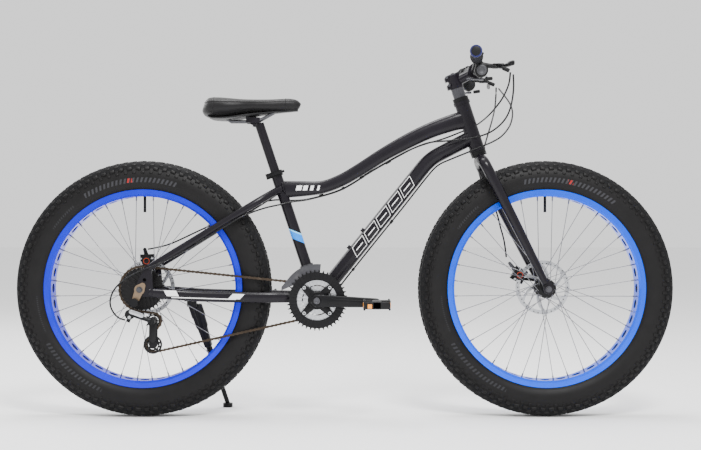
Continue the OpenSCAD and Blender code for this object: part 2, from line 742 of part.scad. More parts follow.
// Hub shell with two flanges, and a rotor seat on the left
module hub(axle, old, flange_y, rotor_y, right_end) {
    half = old / 2 - clear;
    body_r = 15;
    seat_r = rotor_bolt_r + 5;
    neck = flange_t / 2;
    face = rotor_y - rotor_t / 2;
    color("#1d1d20") translate(axle) difference() {
        turned(concat(right_end,
            [[body_r, -flange_y - neck - 4], [flange_r, -flange_y - neck], [flange_r, -flange_y + neck],
            [body_r, -flange_y + neck + 5], [body_r, flange_y - neck - 5], [flange_r, flange_y - neck],
            [flange_r, flange_y + neck], [seat_r - 3, flange_y + neck + 2], [seat_r, face - 3],
            [seat_r, face], [rotor_bolt_r - 5, face], [rotor_bolt_r - 5, rotor_y + rotor_t / 2 + 1],
            [12, rotor_y + rotor_t / 2 + 3], [11, half], [axle_d / 2 + run_gap, half]]));
    }
}

module front_hub() {
    half = front_old / 2 - clear;
    hub(front_axle, front_old, front_flange_y, front_rotor_y,
        [[axle_d / 2 + run_gap, -half], [11, -half], [12, -front_flange_y - 12]]);
}

module rear_hub() {
    half = rear_old / 2 - clear;
    hub(rear_axle, rear_old, rear_flange_y, rear_rotor_y,
        [[axle_d / 2 + run_gap, -half], [11, -half], [12, -half + 2.5], [freehub_r, -half + 2.5],
        [freehub_r, -rear_flange_y - 9], [freehub_r + 2, -rear_flange_y - 8.5]]);
}

module wheel_axle(axle, old, plate_t, nut_r) {
    half = old / 2 + plate_t;
    color("#9a9da3") translate(axle) {
        rod(-half * Y, half * Y, axle_d / 2);
        both_sides() {
            rod(half * Y, (half + 7) * Y, nut_r);
            rod((half + 7) * Y, (half + 11) * Y, axle_d / 2);
        }
    }
}

// ---------- fork, stem and bar ----------

fork_plate_t = 7;
leg_foot = front_axle + [-8, fork_leg_y, 16];
leg_top = on_steer(crown_t - 15) + [-1, 0, 0];

module fork_steerer() {
    color("#1b1b1f") {
        rod(on_steer(crown_t - 16), on_steer(stem_low + stem_h), steerer_d / 2);
        rod(on_steer(crown_t - 4), on_steer(crown_t), head_tube_d / 2 + 1);
    }
}

module fork_leg() {
    difference() {
        union() {
            sweep([for (q = smooth([[0, 0, 16, 16], [0, 26, 16, 16], [0.015, 50, 16, 16],
                [0.05, fork_leg_y - 3, 15.5, 15.5], [0.16, fork_leg_y, 15.5, 15.5],
                [0.5, fork_leg_y, 14.5, 14.5], [0.8, fork_leg_y, 13.5, 12.5],
                [1, fork_leg_y, 12.5, 10]], 4))
                let (p = lerp(leg_top, leg_foot, q[0])) [p[0], q[1], p[2], q[2], q[3]]], 14, [1, 0, 0.25]);
            translate([front_axle[0], 0, front_axle[2]])
                slab(front_old / 2 + fork_plate_t / 2, fork_plate_t) hull() {
                    circle(15, $fn = 32);
                    translate([-9, 20]) circle(14, $fn = 32);
                }
        }
        rod(front_axle, front_axle + front_old * Y, axle_d / 2);
        rod(on_steer(crown_t - 16), on_steer(crown_t + 30), steerer_d / 2);
        rod(on_steer(crown_t - 4), on_steer(crown_t + 30), head_tube_d);
    }
}

module fork_legs() {
    color("#17161b") both_sides() fork_leg();
}

module stem() {
    cap_r = bar_d / 2 + 7;
    color("#19191c") difference() {
        union() {
            rod(on_steer(stem_low), on_steer(stem_low + stem_h), steerer_d / 2 + 5);
            rod(stem_mid, lerp(stem_mid, bar_mid, 0.9), 15);
            rod(bar_mid - 23 * Y, bar_mid + 23 * Y, cap_r);
            for (s = [-1, 1]) translate(on_steer(stem_low + stem_h / 2 + s * 12))
                rotate([0, head_angle - 90, 0]) translate([-27, -12, -6]) cube([27, 24, 12]);
        }
        rod(on_steer(stem_low - 1), on_steer(stem_low + stem_h + 1), steerer_d / 2);
        rod(bar_mid - 30 * Y, bar_mid + 30 * Y, bar_d / 2);
    }
}

module stem_hardware() {
    color("#8f9298") {
        sleeve(on_steer(spacer_low), on_steer(spacer_low + 10), steerer_d / 2 + 4, steerer_d / 2);
        sleeve(on_steer(spacer_low + 10), on_steer(spacer_low + 19), steerer_d / 2 + 4.5, steerer_d / 2);
        sleeve(on_steer(spacer_low + 19), on_steer(stem_low), steerer_d / 2 + 4, steerer_d / 2);
        rod(on_steer(stem_low + stem_h), on_steer(stem_low + stem_h + 4), steerer_d / 2 + 4);
        rod(on_steer(stem_low + stem_h + 4), on_steer(stem_low + stem_h + 7), 5);
        for (s = [-1, 1]) {
            c = on_steer(stem_low + stem_h / 2 + s * 12) - [22, 0, 0];
            rod(c - 17 * Y, c - 12 * Y, 4);
            rod(c + 12 * Y, c + 17 * Y, 4);
        }
        for (y = [-15, 15], s = [-1, 1]) {
            c = bar_mid + [bar_d / 2 + 7, y, 0] + s * [-6, 0, 17];
            rod(c, c + [5, 0, 0], 3.5);
        }
    }
}

module handlebar() {
    color("#1a1a1d") {
        rod(bar_points[2], bar_points[3], bar_d / 2);
        for (s = [[1, 2], [4, 3]]) {
            rod(bar_points[s[0]], bar_points[s[1]], 13);
            translate(bar_points[s[0]]) sphere(13);
        }
        rod(bar_points[0], bar_points[1], grip_bore_d / 2);
        rod(bar_points[4], bar_points[5], grip_bore_d / 2);
    }
}

module grips() {
    grip_len = 122;
    start = on_bar(bar_half - grip_len);
    color("#26262a") both_sides() {
        sleeve(start, on_bar(bar_half), 15.5, grip_bore_d / 2);
        sleeve(start, on_bar(bar_half - grip_len + 5), 18.5, grip_bore_d / 2);
        sleeve(on_bar(bar_half - 6), on_bar(bar_half), 17, grip_bore_d / 2);
        rod(on_bar(bar_half), on_bar(bar_half + 3), 16.5);
    }
}

// Brake and shift housing on the right or left of the bar
module control_pod() {
    ring_at = on_bar(188);
    face = on_bar(196) + [12, 0, -36];
    difference() {
        union() {
            rod(on_bar(180), on_bar(196), 17);
            slab_z(bar_shift + [0, 0, 1001], 14) polygon([[370, 180], [395, 178], [430, 184], [443, 190],
                [443, 199], [430, 201], [395, 204], [370, 198]]);
            rod(ring_at + [6, 4, -8], face, 9);
            rod(face - 15 * Y, face + 15 * Y, 19);
            rod(bar_shift + [442, 196, 995], bar_shift + [458, 196, 988], 5.5);
        }
        rod(on_bar(120), on_bar(300), grip_bore_d / 2);
        translate(lever_pivot) {
            translate([-14, -8, -4.4]) cube([40, 30, 8.8]);
            translate([0, 0, -30]) cylinder(h = 60, r = 3);
        }
    }
    rod(lever_pivot - [0, 0, 7], lever_pivot + [0, 0, 7], 3);
    rod(thumb_pivot - [0, 0, 4], thumb_pivot + [0, 0, 10], 2);
}

// A level plate, centred on the given height
module slab_z(at, thick) {
    translate([at[0], at[1], at[2] - thick / 2]) linear_extrude(thick) children();
}

module control_pods() {
    color("#202024") both_sides() control_pod();
}

module brake_lever() {
    tip = bar_shift + [454, 330, 995];
    difference() {
        union() {
            translate(lever_pivot - [0, 0, 4]) cylinder(h = 8, r = 7);
            sweep([for (q = smooth([[428, 198, 1001, 4, 6], [440, 216, 1000, 4, 6], [447, 250, 998, 4, 6.5],
                [447, 290, 996, 4, 7], [450, 318, 995, 4, 7], [454, 330, 995, 3.5, 6]], 3))
                [q[0] + bar_shift[0], q[1], q[2] + bar_shift[2], q[3], q[4] > 4 && q[1] < 208 ? 3.9 : q[4]]],
                12, [0, 0, 1]);
        }
        translate(lever_pivot - [0, 0, 9]) cylinder(h = 18, r = 3 + run_gap);
    }
}

module brake_lever_left() {
    color("#1d1d20") brake_lever();
}

module brake_lever_right() {
    color("#1d1d20") mirror([0, 1, 0]) brake_lever();
}

thumb_pivot = on_bar(196) + [12, 0, -60];

module thumb_lever() {
    pad = thumb_pivot + [-34, 18, 0];
    difference() {
        union() {
            translate(thumb_pivot - [0, 0, 3]) cylinder(h = 6, r = 8);
            hull() {
                translate(thumb_pivot - [0, 0, 2]) cylinder(h = 4, r = 6, $fn = 32);
                translate(pad - [0, 0, 4]) cylinder(h = 6, r = 9, $fn = 32);
            }
        }
        translate(thumb_pivot - [0, 0, 20]) cylinder(h = 40, r = 2 + run_gap);
    }
}

module thumb_lever_left() {
    color("#2d2d31") thumb_lever();
}

module thumb_lever_right() {
    color("#2d2d31") mirror([0, 1, 0]) thumb_lever();
}

// ---------- drivetrain ----------

module chain() {
    plate_t = 1.1;
    half_in = 2;
    color("#6d5f4e") {
        for (s = [-1, 1]) slab(chain_y + s * (half_in + plate_t / 2), plate_t) difference() {
            polygon(loop_outline(chain_half_h));
            polygon(loop_outline(-chain_half_h));
        }
        for (k = [0 : chain_links - 1]) {
            p = roller_at(k);
            rod([p[0], chain_y - half_in, p[1]], [p[0], chain_y + half_in, p[1]], roller_r);
        }
    }
}

module cassette() {
    color("#b8bbc0") translate([rear_axle[0], 0, rear_axle[2]]) difference() {
        union() {
            for (i = [0 : len(cog_teeth) - 1]) slab(chain_y - i * cog_step, 2)
                sprocket_shape(cog_teeth[i], tooth_phase(0));
            rod((chain_y + 1) * Y, (chain_y - (len(cog_teeth) - 1) * cog_step - 1.2) * Y, freehub_r + 1.4);
        }
        rod(-rear_old * Y, Y, freehub_r + run_gap);
    }
}

module pulley(at, phase) {
    color("#1c1c1f") difference() {
        translate([at[0], 0, at[1]]) slab(chain_y, 2.6) sprocket_shape(pulley_teeth, phase);
        rod([at[0], chain_y - 9, at[1]], [at[0], chain_y + 9, at[1]], 3 + run_gap);
    }
}

cage_gap = 4.2;
cage_t = 1.6;

module rear_derailleur() {
    knuckle = [rear_axle[0] - 14, hanger_y - hanger_t / 2, rear_axle[2] - 36];
    lower = knuckle + [-10, 0, -33];
    top = [pulley_guide[0], chain_y, pulley_guide[1]];
    color("#2a2a2d") {
        for (s = [-1, 1]) slab(chain_y + s * (cage_gap + cage_t / 2), cage_t) difference() {
            hull() {
                translate(pulley_guide) circle(12, $fn = 32);
                translate(pulley_tension) circle(12, $fn = 32);
            }
            hull() {
                translate(lerp(pulley_guide, pulley_tension, 0.28)) circle(5, $fn = 32);
                translate(lerp(pulley_guide, pulley_tension, 0.72)) circle(5, $fn = 32);
            }
        }
        for (p = [pulley_guide, pulley_tension])
            rod([p[0], chain_y - cage_gap, p[1]], [p[0], chain_y + cage_gap, p[1]], 3);
        rod(knuckle, knuckle - 16 * Y, 12);
        rod(lower - 2 * Y, lower - 24 * Y, 14);
        rod([lower[0], hanger_y - 9, lower[2]], [top[0], hanger_y - 9, top[2] + 4], 6);
        rod([top[0] + 2, chain_y - cage_gap - cage_t, top[2] + 2], [top[0] + 2, hanger_y - 9, top[2] + 2], 9);
        rod(lower - 14 * Y - [2, 0, 12], lower - 14 * Y - [6, 0, 22], 5);
    }
    color("#b5b8bd") slab(hanger_y - 18, 5) hull() {
        translate([lower[0] + 6, lower[2] + 6]) circle(7, $fn = 32);
        translate([lower[0] + 34, lower[2] - 2]) circle(7, $fn = 32);
    }
}

module front_derailleur() {
    band_low = 92;
    band_high = 106;
    arc_in = 76;
    arc_out = 104;
    function arc(r, from, to) = [for (a = [from : (to - from) / 12 : to]) bb2 + r * [cos(a), sin(a)]];
    bb2 = [bb[0], bb[2]];
    tail = bb2 + [-101, 33];
    color("#b5b8bd") {
        for (y = [chain_y + 5.5, chain_y - 7]) slab(y, 1.2)
            polygon(concat(arc(arc_out, 84, 142), [tail + [-2, 5], tail + [-2, -5]], arc(arc_in, 142, 84)));
        slab(chain_y - 0.75, 13.7) polygon(concat(arc(arc_out, 100, 116), arc(arc_out - 1.5, 116, 100)));
        sleeve(on_seat(band_low), on_seat(band_high), seat_tube_d / 2 + 4, seat_tube_d / 2);
        rod(on_seat(99) - 18 * Y, on_seat(99) - 46 * Y, 8);
        slab(chain_y + 8.6, 5) hull() {
            translate([on_seat(99)[0], on_seat(99)[2]]) circle(8, $fn = 32);
            translate(bb2 + 98 * [cos(104), sin(104)]) circle(6, $fn = 32);
        }
    }
}

module crank_spindle() {
    color("#8f9298") {
        rod(bb - (crank_arm_y + crank_arm_t / 2) * Y, bb + (crank_arm_y + crank_arm_t / 2) * Y, spindle_r);
    }
}

crank_dir = [cos(crank_dip), 0, -sin(crank_dip)];
crank_eye = crank_len * crank_dir;

module crank_arm(side) {
    c = bb + side * crank_eye;
    difference() {
        slab(-side * crank_arm_y, crank_arm_t) hull() {
            translate([bb[0], bb[2]]) circle(18, $fn = 32);
            translate([c[0], c[2]]) circle(13, $fn = 32);
        }
        rod(bb - 120 * Y, bb + 120 * Y, spindle_r);
        rod(c - 120 * Y, c + 120 * Y, 7 + run_gap);
    }
}

module crank_arms() {
    color("#17171a") {
        crank_arm(1);
        crank_arm(-1);
    }
}

bolt_circle = 52;

module chainrings() {
    large_y = chain_y - 2 * ring_step;
    color("#1c1c1f") translate([bb[0], 0, bb[2]]) {
        slab(large_y, 2) difference() {
            sprocket_shape(ring_teeth[2], 0);
            circle(bolt_circle + 6);
        }
        slab(large_y - 3.5, 5) difference() {
            union() {
                circle(24);
                for (i = [0 : 3]) rotate(45 + 90 * i) translate([0, -8]) square([bolt_circle + 9, 16]);
            }
            circle(spindle_r);
        }
        slab(large_y - 9.5, 7) difference() {
            circle(22);
            circle(spindle_r);
        }
    }
    color("#b9bcc1") translate([bb[0], 0, bb[2]]) {
        slab(chain_y - ring_step, 2) difference() {
            sprocket_shape(ring_teeth[1], 0);
            circle(bolt_circle - 8);
        }
        slab(chain_y, 2) difference() {
            sprocket_shape(ring_teeth[0], tooth_phase(1));
            circle(26);
        }
        for (i = [0 : 3]) rotate([0, 45 + 90 * i, 0]) {
            rod([bolt_circle, large_y - 8, 0], [bolt_circle, chain_y - ring_step + 1.8, 0], 5);
            rod([33, large_y - 3, 0], [33, chain_y + 0.5, 0], 4);
        }
    }
}

module pedal(side) {
    c = bb + side * crank_eye;
    y0 = crank_arm_y - crank_arm_t / 2;
    half_w = 48;
    translate([c[0], 0, c[2]]) {
        rod([0, y0, 0], [0, pedal_y + half_w - 2, 0], 7);
        difference() {
            translate([-38, pedal_y - half_w, -13]) cube([76, 2 * half_w, 26]);
            for (s = [-1, 1]) translate([s * 23 - 9, pedal_y - half_w + 8, -20])
                cube([18, 2 * half_w - 16, 40]);
            translate([-60, pedal_y - 30, -8]) cube([24, 60, 16]);
            translate([36, pedal_y - 30, -8]) cube([24, 60, 16]);
        }
    }
}

module pedal_left() {
    color("#1b1b1e") pedal(-1);
}

module pedal_right() {
    color("#1b1b1e") mirror([0, 1, 0]) pedal(1);
}

// ---------- saddle ----------

saddle_at = on_seat(post_top) + [-17, 0, 9];

module seatpost() {
    color("#1c1c1f") {
        rod(on_seat(post_top - post_len), on_seat(post_top), post_d / 2);
        difference() {
            union() {
                rod(saddle_at - 16 * Y, saddle_at + 16 * Y, 13);
                rod(on_seat(post_top), saddle_at + [0, 0, -6], 12);
                for (s = [-1, 1]) translate(saddle_at + [-20, s * 22 - 6, -8]) cube([40, 12, 16]);
            }
            for (s = [-1, 1]) rod(saddle_at + [-60, s * 22, -3], saddle_at + [60, s * 22, -3], rail_r);
        }
    }
}

module saddle_rails() {
    color("#8f9298") both_sides()
        wire([saddle_at + [-108, 30, 22], saddle_at + [-66, 22, -3], saddle_at + [12, 22, -3],
            saddle_at + [66, 14, 26]], rail_r);
}

// Saddle stations along its length: share, half width, underside, top
module saddle() {
    rear = saddle_at[0] - 135;
    rows = [[0, 22, 26, 52], [0.02, 44, 10, 64], [0.12, 74, 6, 68], [0.25, 80, 10, 66], [0.4, 70, 18, 62],
        [0.55, 46, 24, 62], [0.7, 30, 26, 63], [0.85, 24, 27, 65], [0.96, 20, 29, 62], [1, 10, 34, 50]];
    color("#1c1b1d") difference() {
        sweep([for (q = smooth(rows, 3)) [rear + q[0] * saddle_len, 0, saddle_at[2] + (q[2] + q[3]) / 2,
            q[1] * saddle_w / 160, (q[3] - q[2]) / 2]], 20, [0, 0, 1]);
        both_sides() wire([saddle_at + [-108, 30, 22], saddle_at + [-66, 22, -3], saddle_at + [12, 22, -3],
            saddle_at + [66, 14, 26]], rail_r + 0.3);
    }
}

// ---------- kickstand and guides ----------

module kickstand_bracket() {
    plate = stand_pivot - [0, 20, 0];
    color("#1d1d20") {
        translate(plate + [-22, -14, 2]) cube([44, 26, 8]);
        translate(plate + [-14, -12, -14]) cube([28, 20, 18]);
        rod(stand_pivot - 20 * stand_axis, stand_pivot + 14 * stand_axis, 4);
        rod(stand_pivot - 20 * stand_axis, stand_pivot - 0.4 * stand_axis, 10);
        rod(stand_pivot + 12.4 * stand_axis, stand_pivot + 15 * stand_axis, 7);
    }
}

module kickstand_leg() {
    start = stand_pivot + 6 * stand_axis;
    leg_dir = unit(stand_foot + [0, 0, 10] - start);
    color("#1d1d20") difference() {
        union() {
            rod(stand_pivot, stand_pivot + 12 * stand_axis, 11);
            rod(start + 3 * leg_dir, start + 16 * leg_dir, 5.7);
            rod(start + 13 * leg_dir, start + 190 * leg_dir, 9.5);
            rod(start + 188 * leg_dir, start + 204 * leg_dir, 12);
            rod(start + 202 * leg_dir, stand_foot + [0, 0, 10], 7);
            translate(stand_foot) cylinder(h = 12, r = 15);
        }
        rod(stand_pivot - 20 * stand_axis, stand_pivot + 20 * stand_axis, 4 + run_gap);
    }
}

// Clips that hold the cables to the frame, each round one stretch of cable
module cable_guides() {
    color("#2a2a2e") {
        for (route = [rear_brake_route, rear_shift_route], i = [10, 12])
            sleeve(lerp(route[i], route[i + 1], 0.42), lerp(route[i], route[i + 1], 0.58), 4.2, 3);
        for (i = [12, 14])
            sleeve(lerp(front_shift_route[i], front_shift_route[i + 1], 0.45),
                lerp(front_shift_route[i], front_shift_route[i + 1], 0.55), 4.2, 3);
    }
}

module frame_cables() {
    color("#1a1a1c") {
        cable(rear_brake_route, 3);
        cable(rear_shift_route, 3);
        cable(front_shift_route, 3);
    }
}

module front_brake_cable() {
    color("#1a1a1c") cable(front_brake_route, 3);
}

head_tube();
top_tube();
down_tube();
seat_tube();
bottom_bracket();
chain_stays();
seat_stays();
dropouts();
derailleur_hanger();
headset_cups();
seat_clamp();
front_derailleur();
rear_derailleur();
rear_calliper();
wheel_axle(rear_axle, rear_old, dropout_t, 9);
kickstand_bracket();
cable_guides();
chain();
frame_cables();
fork_steerer();
fork_legs();
wheel_axle(front_axle, front_old, fork_plate_t, 9);
stem();
stem_hardware();
handlebar();
grips();
control_pods();
front_calliper();
front_brake_cable();
brake_lever_left();
brake_lever_right();
thumb_lever_left();
thumb_lever_right();
tyre(front_axle);  // front_tyre
inner_tube(front_axle);  // front_tube
rim(front_axle, "#2f6fe0");  // front_rim
spokes(front_axle, front_flange_y);  // front_spokes
front_hub();
rotor(front_axle, front_rotor_y);  // front_rotor
tyre(rear_axle);  // rear_tyre
inner_tube(rear_axle);  // rear_tube
rim(rear_axle, "#1c50c4");  // rear_rim
spokes(rear_axle, rear_flange_y);  // rear_spokes
rear_hub();
rotor(rear_axle, rear_rotor_y);  // rear_rotor
cassette();
pulley(pulley_guide, tooth_phase(3));  // guide_pulley
pulley(pulley_tension, tooth_phase(2));  // tension_pulley
crank_spindle();
crank_arms();
chainrings();
pedal_left();
pedal_right();
seatpost();
saddle_rails();
saddle();
kickstand_leg();
seat_clamp_lever();
front_calliper_arm();
rear_calliper_arm();
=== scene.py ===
"""Looks of a rigid fat-tyre mountain bike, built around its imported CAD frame."""

import json
import logging
import math
from dataclasses import dataclass, field, replace
from enum import Enum
from itertools import product
from typing import Callable, Sequence

import bmesh
import bpy
from mathutils import Matrix, Vector


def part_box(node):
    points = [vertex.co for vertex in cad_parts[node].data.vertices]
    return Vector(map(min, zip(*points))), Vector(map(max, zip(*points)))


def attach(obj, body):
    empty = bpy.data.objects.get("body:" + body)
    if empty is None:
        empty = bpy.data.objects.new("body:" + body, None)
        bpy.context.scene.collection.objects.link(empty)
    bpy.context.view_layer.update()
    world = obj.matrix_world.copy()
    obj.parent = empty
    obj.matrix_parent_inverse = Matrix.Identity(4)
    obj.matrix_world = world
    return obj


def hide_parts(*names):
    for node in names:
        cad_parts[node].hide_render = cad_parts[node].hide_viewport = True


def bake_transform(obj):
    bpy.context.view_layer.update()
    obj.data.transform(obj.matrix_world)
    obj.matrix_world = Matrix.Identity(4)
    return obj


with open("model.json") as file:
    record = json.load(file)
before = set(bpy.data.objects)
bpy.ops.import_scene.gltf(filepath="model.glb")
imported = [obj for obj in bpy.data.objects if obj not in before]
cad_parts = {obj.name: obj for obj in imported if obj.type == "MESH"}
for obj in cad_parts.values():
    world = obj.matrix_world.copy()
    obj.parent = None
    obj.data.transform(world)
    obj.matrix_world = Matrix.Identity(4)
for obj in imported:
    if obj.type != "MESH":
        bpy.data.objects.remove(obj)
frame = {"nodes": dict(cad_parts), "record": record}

log = logging.getLogger("bike")
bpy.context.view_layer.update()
MM = 0.001
Point = tuple[float, float, float]
UP = Vector((0, 0, 1))
SIDE = Vector((0, 1, 0))


# ---------------------------------------------------------------- modelling helpers


def mm(*values: float) -> Vector:
    """Returns a point given in millimetres as metres."""
    return Vector(values) * MM


def deselect() -> None:
    """Leaves nothing selected."""
    if bpy.context.object and bpy.context.object.mode != "OBJECT":
        bpy.ops.object.mode_set(mode="OBJECT")
    bpy.ops.object.select_all(action="DESELECT")


def pick(piece: bpy.types.Object) -> None:
    """Selects one object and makes it active."""
    deselect()
    piece.select_set(True)
    bpy.context.view_layer.objects.active = piece


def fresh(name: str) -> bpy.types.Object:
    """Names the primitive just added and puts its place into its mesh.

    Args:
        name: name of the new piece.
    Returns:
        The new object.
    """
    piece = bpy.context.object
    piece.name = name
    piece.data.name = name
    bpy.ops.object.transform_apply(location=True, rotation=True, scale=True)
    return piece


def smooth_run(rows: Sequence[Sequence[float]], steps: int) -> list[list[float]]:
    """Runs a smooth curve through given rows of numbers.

    Args:
        rows: the rows the curve passes through.
        steps: pieces between two rows.
    Returns:
        The rows of the curve, both ends included.
    """
    out = []
    last = len(rows) - 1
    for i in range(last):
        a, b = rows[max(i - 1, 0)], rows[i]
        c, d = rows[i + 1], rows[min(i + 2, last)]
        for k in range(steps):
            t = k / steps
            out.append([0.5 * (2 * q + (r - p) * t + (2 * p - 5 * q + 4 * r - s) * t * t
                               + (3 * q - p - 3 * r + s) * t ** 3) for p, q, r, s in zip(a, b, c, d)])
    out.append(list(rows[last]))
    return out


def ring_points(at: Vector, along: Vector, up: Vector, across: float, high: float, sides: int,
                power: float = 2.0) -> list[Vector]:
    """Returns one ring of a swept tube.

    Args:
        at: centre of the ring.
        along: direction of the tube.
        up: direction that the height is measured in.
        across: half size square to up.
        high: half size along up.
        sides: points in the ring.
        power: 2 for an ellipse, more for a squarer section.
    Returns:
        The ring's points.
    """
    s = along.cross(up).normalized()
    u = s.cross(along).normalized()
    points = []
    for k in range(sides):
        c, w = math.cos(2 * math.pi * k / sides), math.sin(2 * math.pi * k / sides)
        cc = math.copysign(abs(c) ** (2 / power), c)
        ww = math.copysign(abs(w) ** (2 / power), w)
        points.append(at + s * (across * cc) + u * (high * ww))
    return points


def extrude_loops(name: str, loops: Sequence[Sequence[Vector]], fill: str) -> bpy.types.Object:
    """Moves a circle's points to the first loop and extrudes them from loop to loop.

    Args:
        name: name of the piece.
        loops: loops of points, all with the same count.
        fill: NGON to start from a face, NOTHING to start from a bare loop.
    Returns:
        The object, left in edit mode with all of it selected.
    """
    deselect()
    bpy.ops.mesh.primitive_circle_add(vertices=len(loops[0]), radius=1.0, fill_type=fill)
    piece = fresh(name)
    bpy.ops.object.mode_set(mode="EDIT")
    for i, loop in enumerate(loops):
        if i:
            bpy.ops.mesh.extrude_region_move()
        shell = bmesh.from_edit_mesh(piece.data)
        shell.verts.ensure_lookup_table()
        for vert, point in zip(shell.verts[-len(loop):], loop):
            vert.co = point
        bmesh.update_edit_mesh(piece.data)
        if not i:
            bpy.ops.mesh.select_all(action="SELECT")
    return piece


def close_shell(threshold: float = 0.0) -> None:
    """Merges points nearer than the threshold, turns all faces out and leaves edit mode."""
    bpy.ops.mesh.select_all(action="SELECT")
    if threshold:
        bpy.ops.mesh.remove_doubles(threshold=threshold)
    bpy.ops.mesh.normals_make_consistent(inside=False)
    bpy.ops.object.mode_set(mode="OBJECT")


def loft(name: str, rings: Sequence[Sequence[Vector]]) -> bpy.types.Object:
    """Extrudes a face from ring to ring, as a tube or body with closed ends."""
    piece = extrude_loops(name, rings, "NGON")
    close_shell()
    return piece


def ring_band(name: str, loops: Sequence[Sequence[Vector]]) -> bpy.types.Object:
    """Extrudes loops round a hole into a closed band, such as a toothed ring."""
    piece = extrude_loops(name, [*loops, loops[0]], "NOTHING")
    close_shell(1e-7)
    return piece


def tube(name: str, stations: Sequence[Sequence[float]], sides: int, up: Vector,
         power: float = 2.0) -> bpy.types.Object:
    """Sweeps a tube along stations of x, y, z, half across, half along up.

    Args:
        name: name of the piece.
        stations: rows in millimetres.
        sides: points in each ring.
        up: direction that the height is measured in.
        power: squareness of the section.
    Returns:
        The tube.
    """
    places = [mm(*row[:3]) for row in stations]
    rings = []
    for i, row in enumerate(stations):
        along = (places[min(i + 1, len(places) - 1)] - places[max(i - 1, 0)]).normalized()
        rings.append(ring_points(places[i], along, up, row[3] * MM, row[4] * MM, sides, power))
    return loft(name, rings)


def turned(name: str, centre: Vector, profile: Sequence[Sequence[float]], steps: int) -> bpy.types.Object:
    """Spins a closed profile of radius and y about the Y axis through a centre.

    Args:
        name: name of the piece.
        centre: a point on the axis, in metres.
        profile: radius and y of each point, in millimetres.
        steps: faces round the axis.
    Returns:
        The turned object.
    """
    piece = extrude_loops(name, [[centre + mm(0, y, radius) for radius, y in profile]], "NOTHING")
    bpy.ops.mesh.spin(steps=steps, angle=2 * math.pi, center=centre, axis=(0, 1, 0))
    close_shell(1e-6)
    return piece


def washer(name: str, centre: Vector, outer: float, inner: float, low: float, high: float,
           steps: int) -> bpy.types.Object:
    """Spins a flat ring between two radii and two values of y, in millimetres."""
    profile = [(outer, low), (outer, high), (inner, high), (inner, low)]
    return turned(name, centre, profile, steps)


def plate(name: str, outline: Sequence[Sequence[float]], y: float, thick: float,
          round_edge: float = 0.0) -> bpy.types.Object:
    """Cuts a flat plate in the XZ plane.

    Args:
        name: name of the piece.
        outline: x and z of each corner, in millimetres.
        y: middle of the plate, in millimetres.
        thick: thickness in millimetres.
        round_edge: width of the bevel in millimetres.
    Returns:
        The plate.
    """
    rings = [[mm(x, y + side * thick / 2, z) for x, z in outline] for side in (-1, 1)]
    piece = loft(name, rings)
    if round_edge:
        bevel(piece, round_edge, 2)
    return piece


def bevel(piece: bpy.types.Object, width: float, segments: int = 2, angle: float = 40.0) -> None:
    """Rounds a piece's sharp edges with an applied bevel.

    Args:
        piece: the object to round.
        width: bevel width in millimetres.
        segments: faces across the bevel.
        angle: edges sharper than this, in degrees, are rounded.
    """
    pick(piece)
    rounding = piece.modifiers.new("bevel", "BEVEL")
    rounding.width = width * MM
    rounding.segments = segments
    rounding.limit_method = "ANGLE"
    rounding.angle_limit = math.radians(angle)
    bpy.ops.object.modifier_apply(modifier=rounding.name)


def subdivide(piece: bpy.types.Object, levels: int) -> None:
    """Applies a subdivision surface of the given levels."""
    pick(piece)
    surface = piece.modifiers.new("subdivision", "SUBSURF")
    surface.levels = levels
    surface.render_levels = levels
    bpy.ops.object.modifier_apply(modifier=surface.name)


def bar(name: str, start: Vector, end: Vector, radius: float, sides: int = 24,
        round_edge: float = 0.0, inset: float = 0.0) -> bpy.types.Object:
    """Adds a cylinder between two points, with rounded rims and perhaps a sunk end.

    Args:
        name: name of the piece.
        start: first end, in metres.
        end: last end, in metres.
        radius: radius in millimetres.
        sides: faces round it.
        round_edge: bevel in millimetres.
        inset: depth of a socket in the last end, in millimetres.
    Returns:
        The bar.
    """
    along = end - start
    deselect()
    turn = along.to_track_quat("Z", "Y").to_euler()
    bpy.ops.mesh.primitive_cylinder_add(vertices=sides, radius=radius * MM, depth=along.length,
                                        location=(start + end) / 2, rotation=turn)
    piece = fresh(name)
    if inset:
        bpy.ops.object.mode_set(mode="EDIT")
        bpy.ops.mesh.select_all(action="DESELECT")
        body = bmesh.from_edit_mesh(piece.data)
        cap = max(body.faces, key=lambda f: f.calc_center_median().dot(along))
        cap.select = True
        bmesh.update_edit_mesh(piece.data)
        bpy.ops.mesh.inset(thickness=radius * MM * 0.45)
        bpy.ops.mesh.extrude_region_move(
            TRANSFORM_OT_translate={"value": -along.normalized() * inset * MM})
        bpy.ops.object.mode_set(mode="OBJECT")
    if round_edge:
        bevel(piece, round_edge, 2)
    return piece


def block(name: str, low: Sequence[float], high: Sequence[float], round_edge: float) -> bpy.types.Object:
    """Adds a box between two corners in millimetres, with rounded edges."""
    deselect()
    bpy.ops.mesh.primitive_cube_add(size=1.0)
    piece = bpy.context.object
    piece.location = (mm(*low) + mm(*high)) / 2
    piece.scale = mm(*high) - mm(*low)
    piece = fresh(name)
    bevel(piece, round_edge, 3)
    return piece


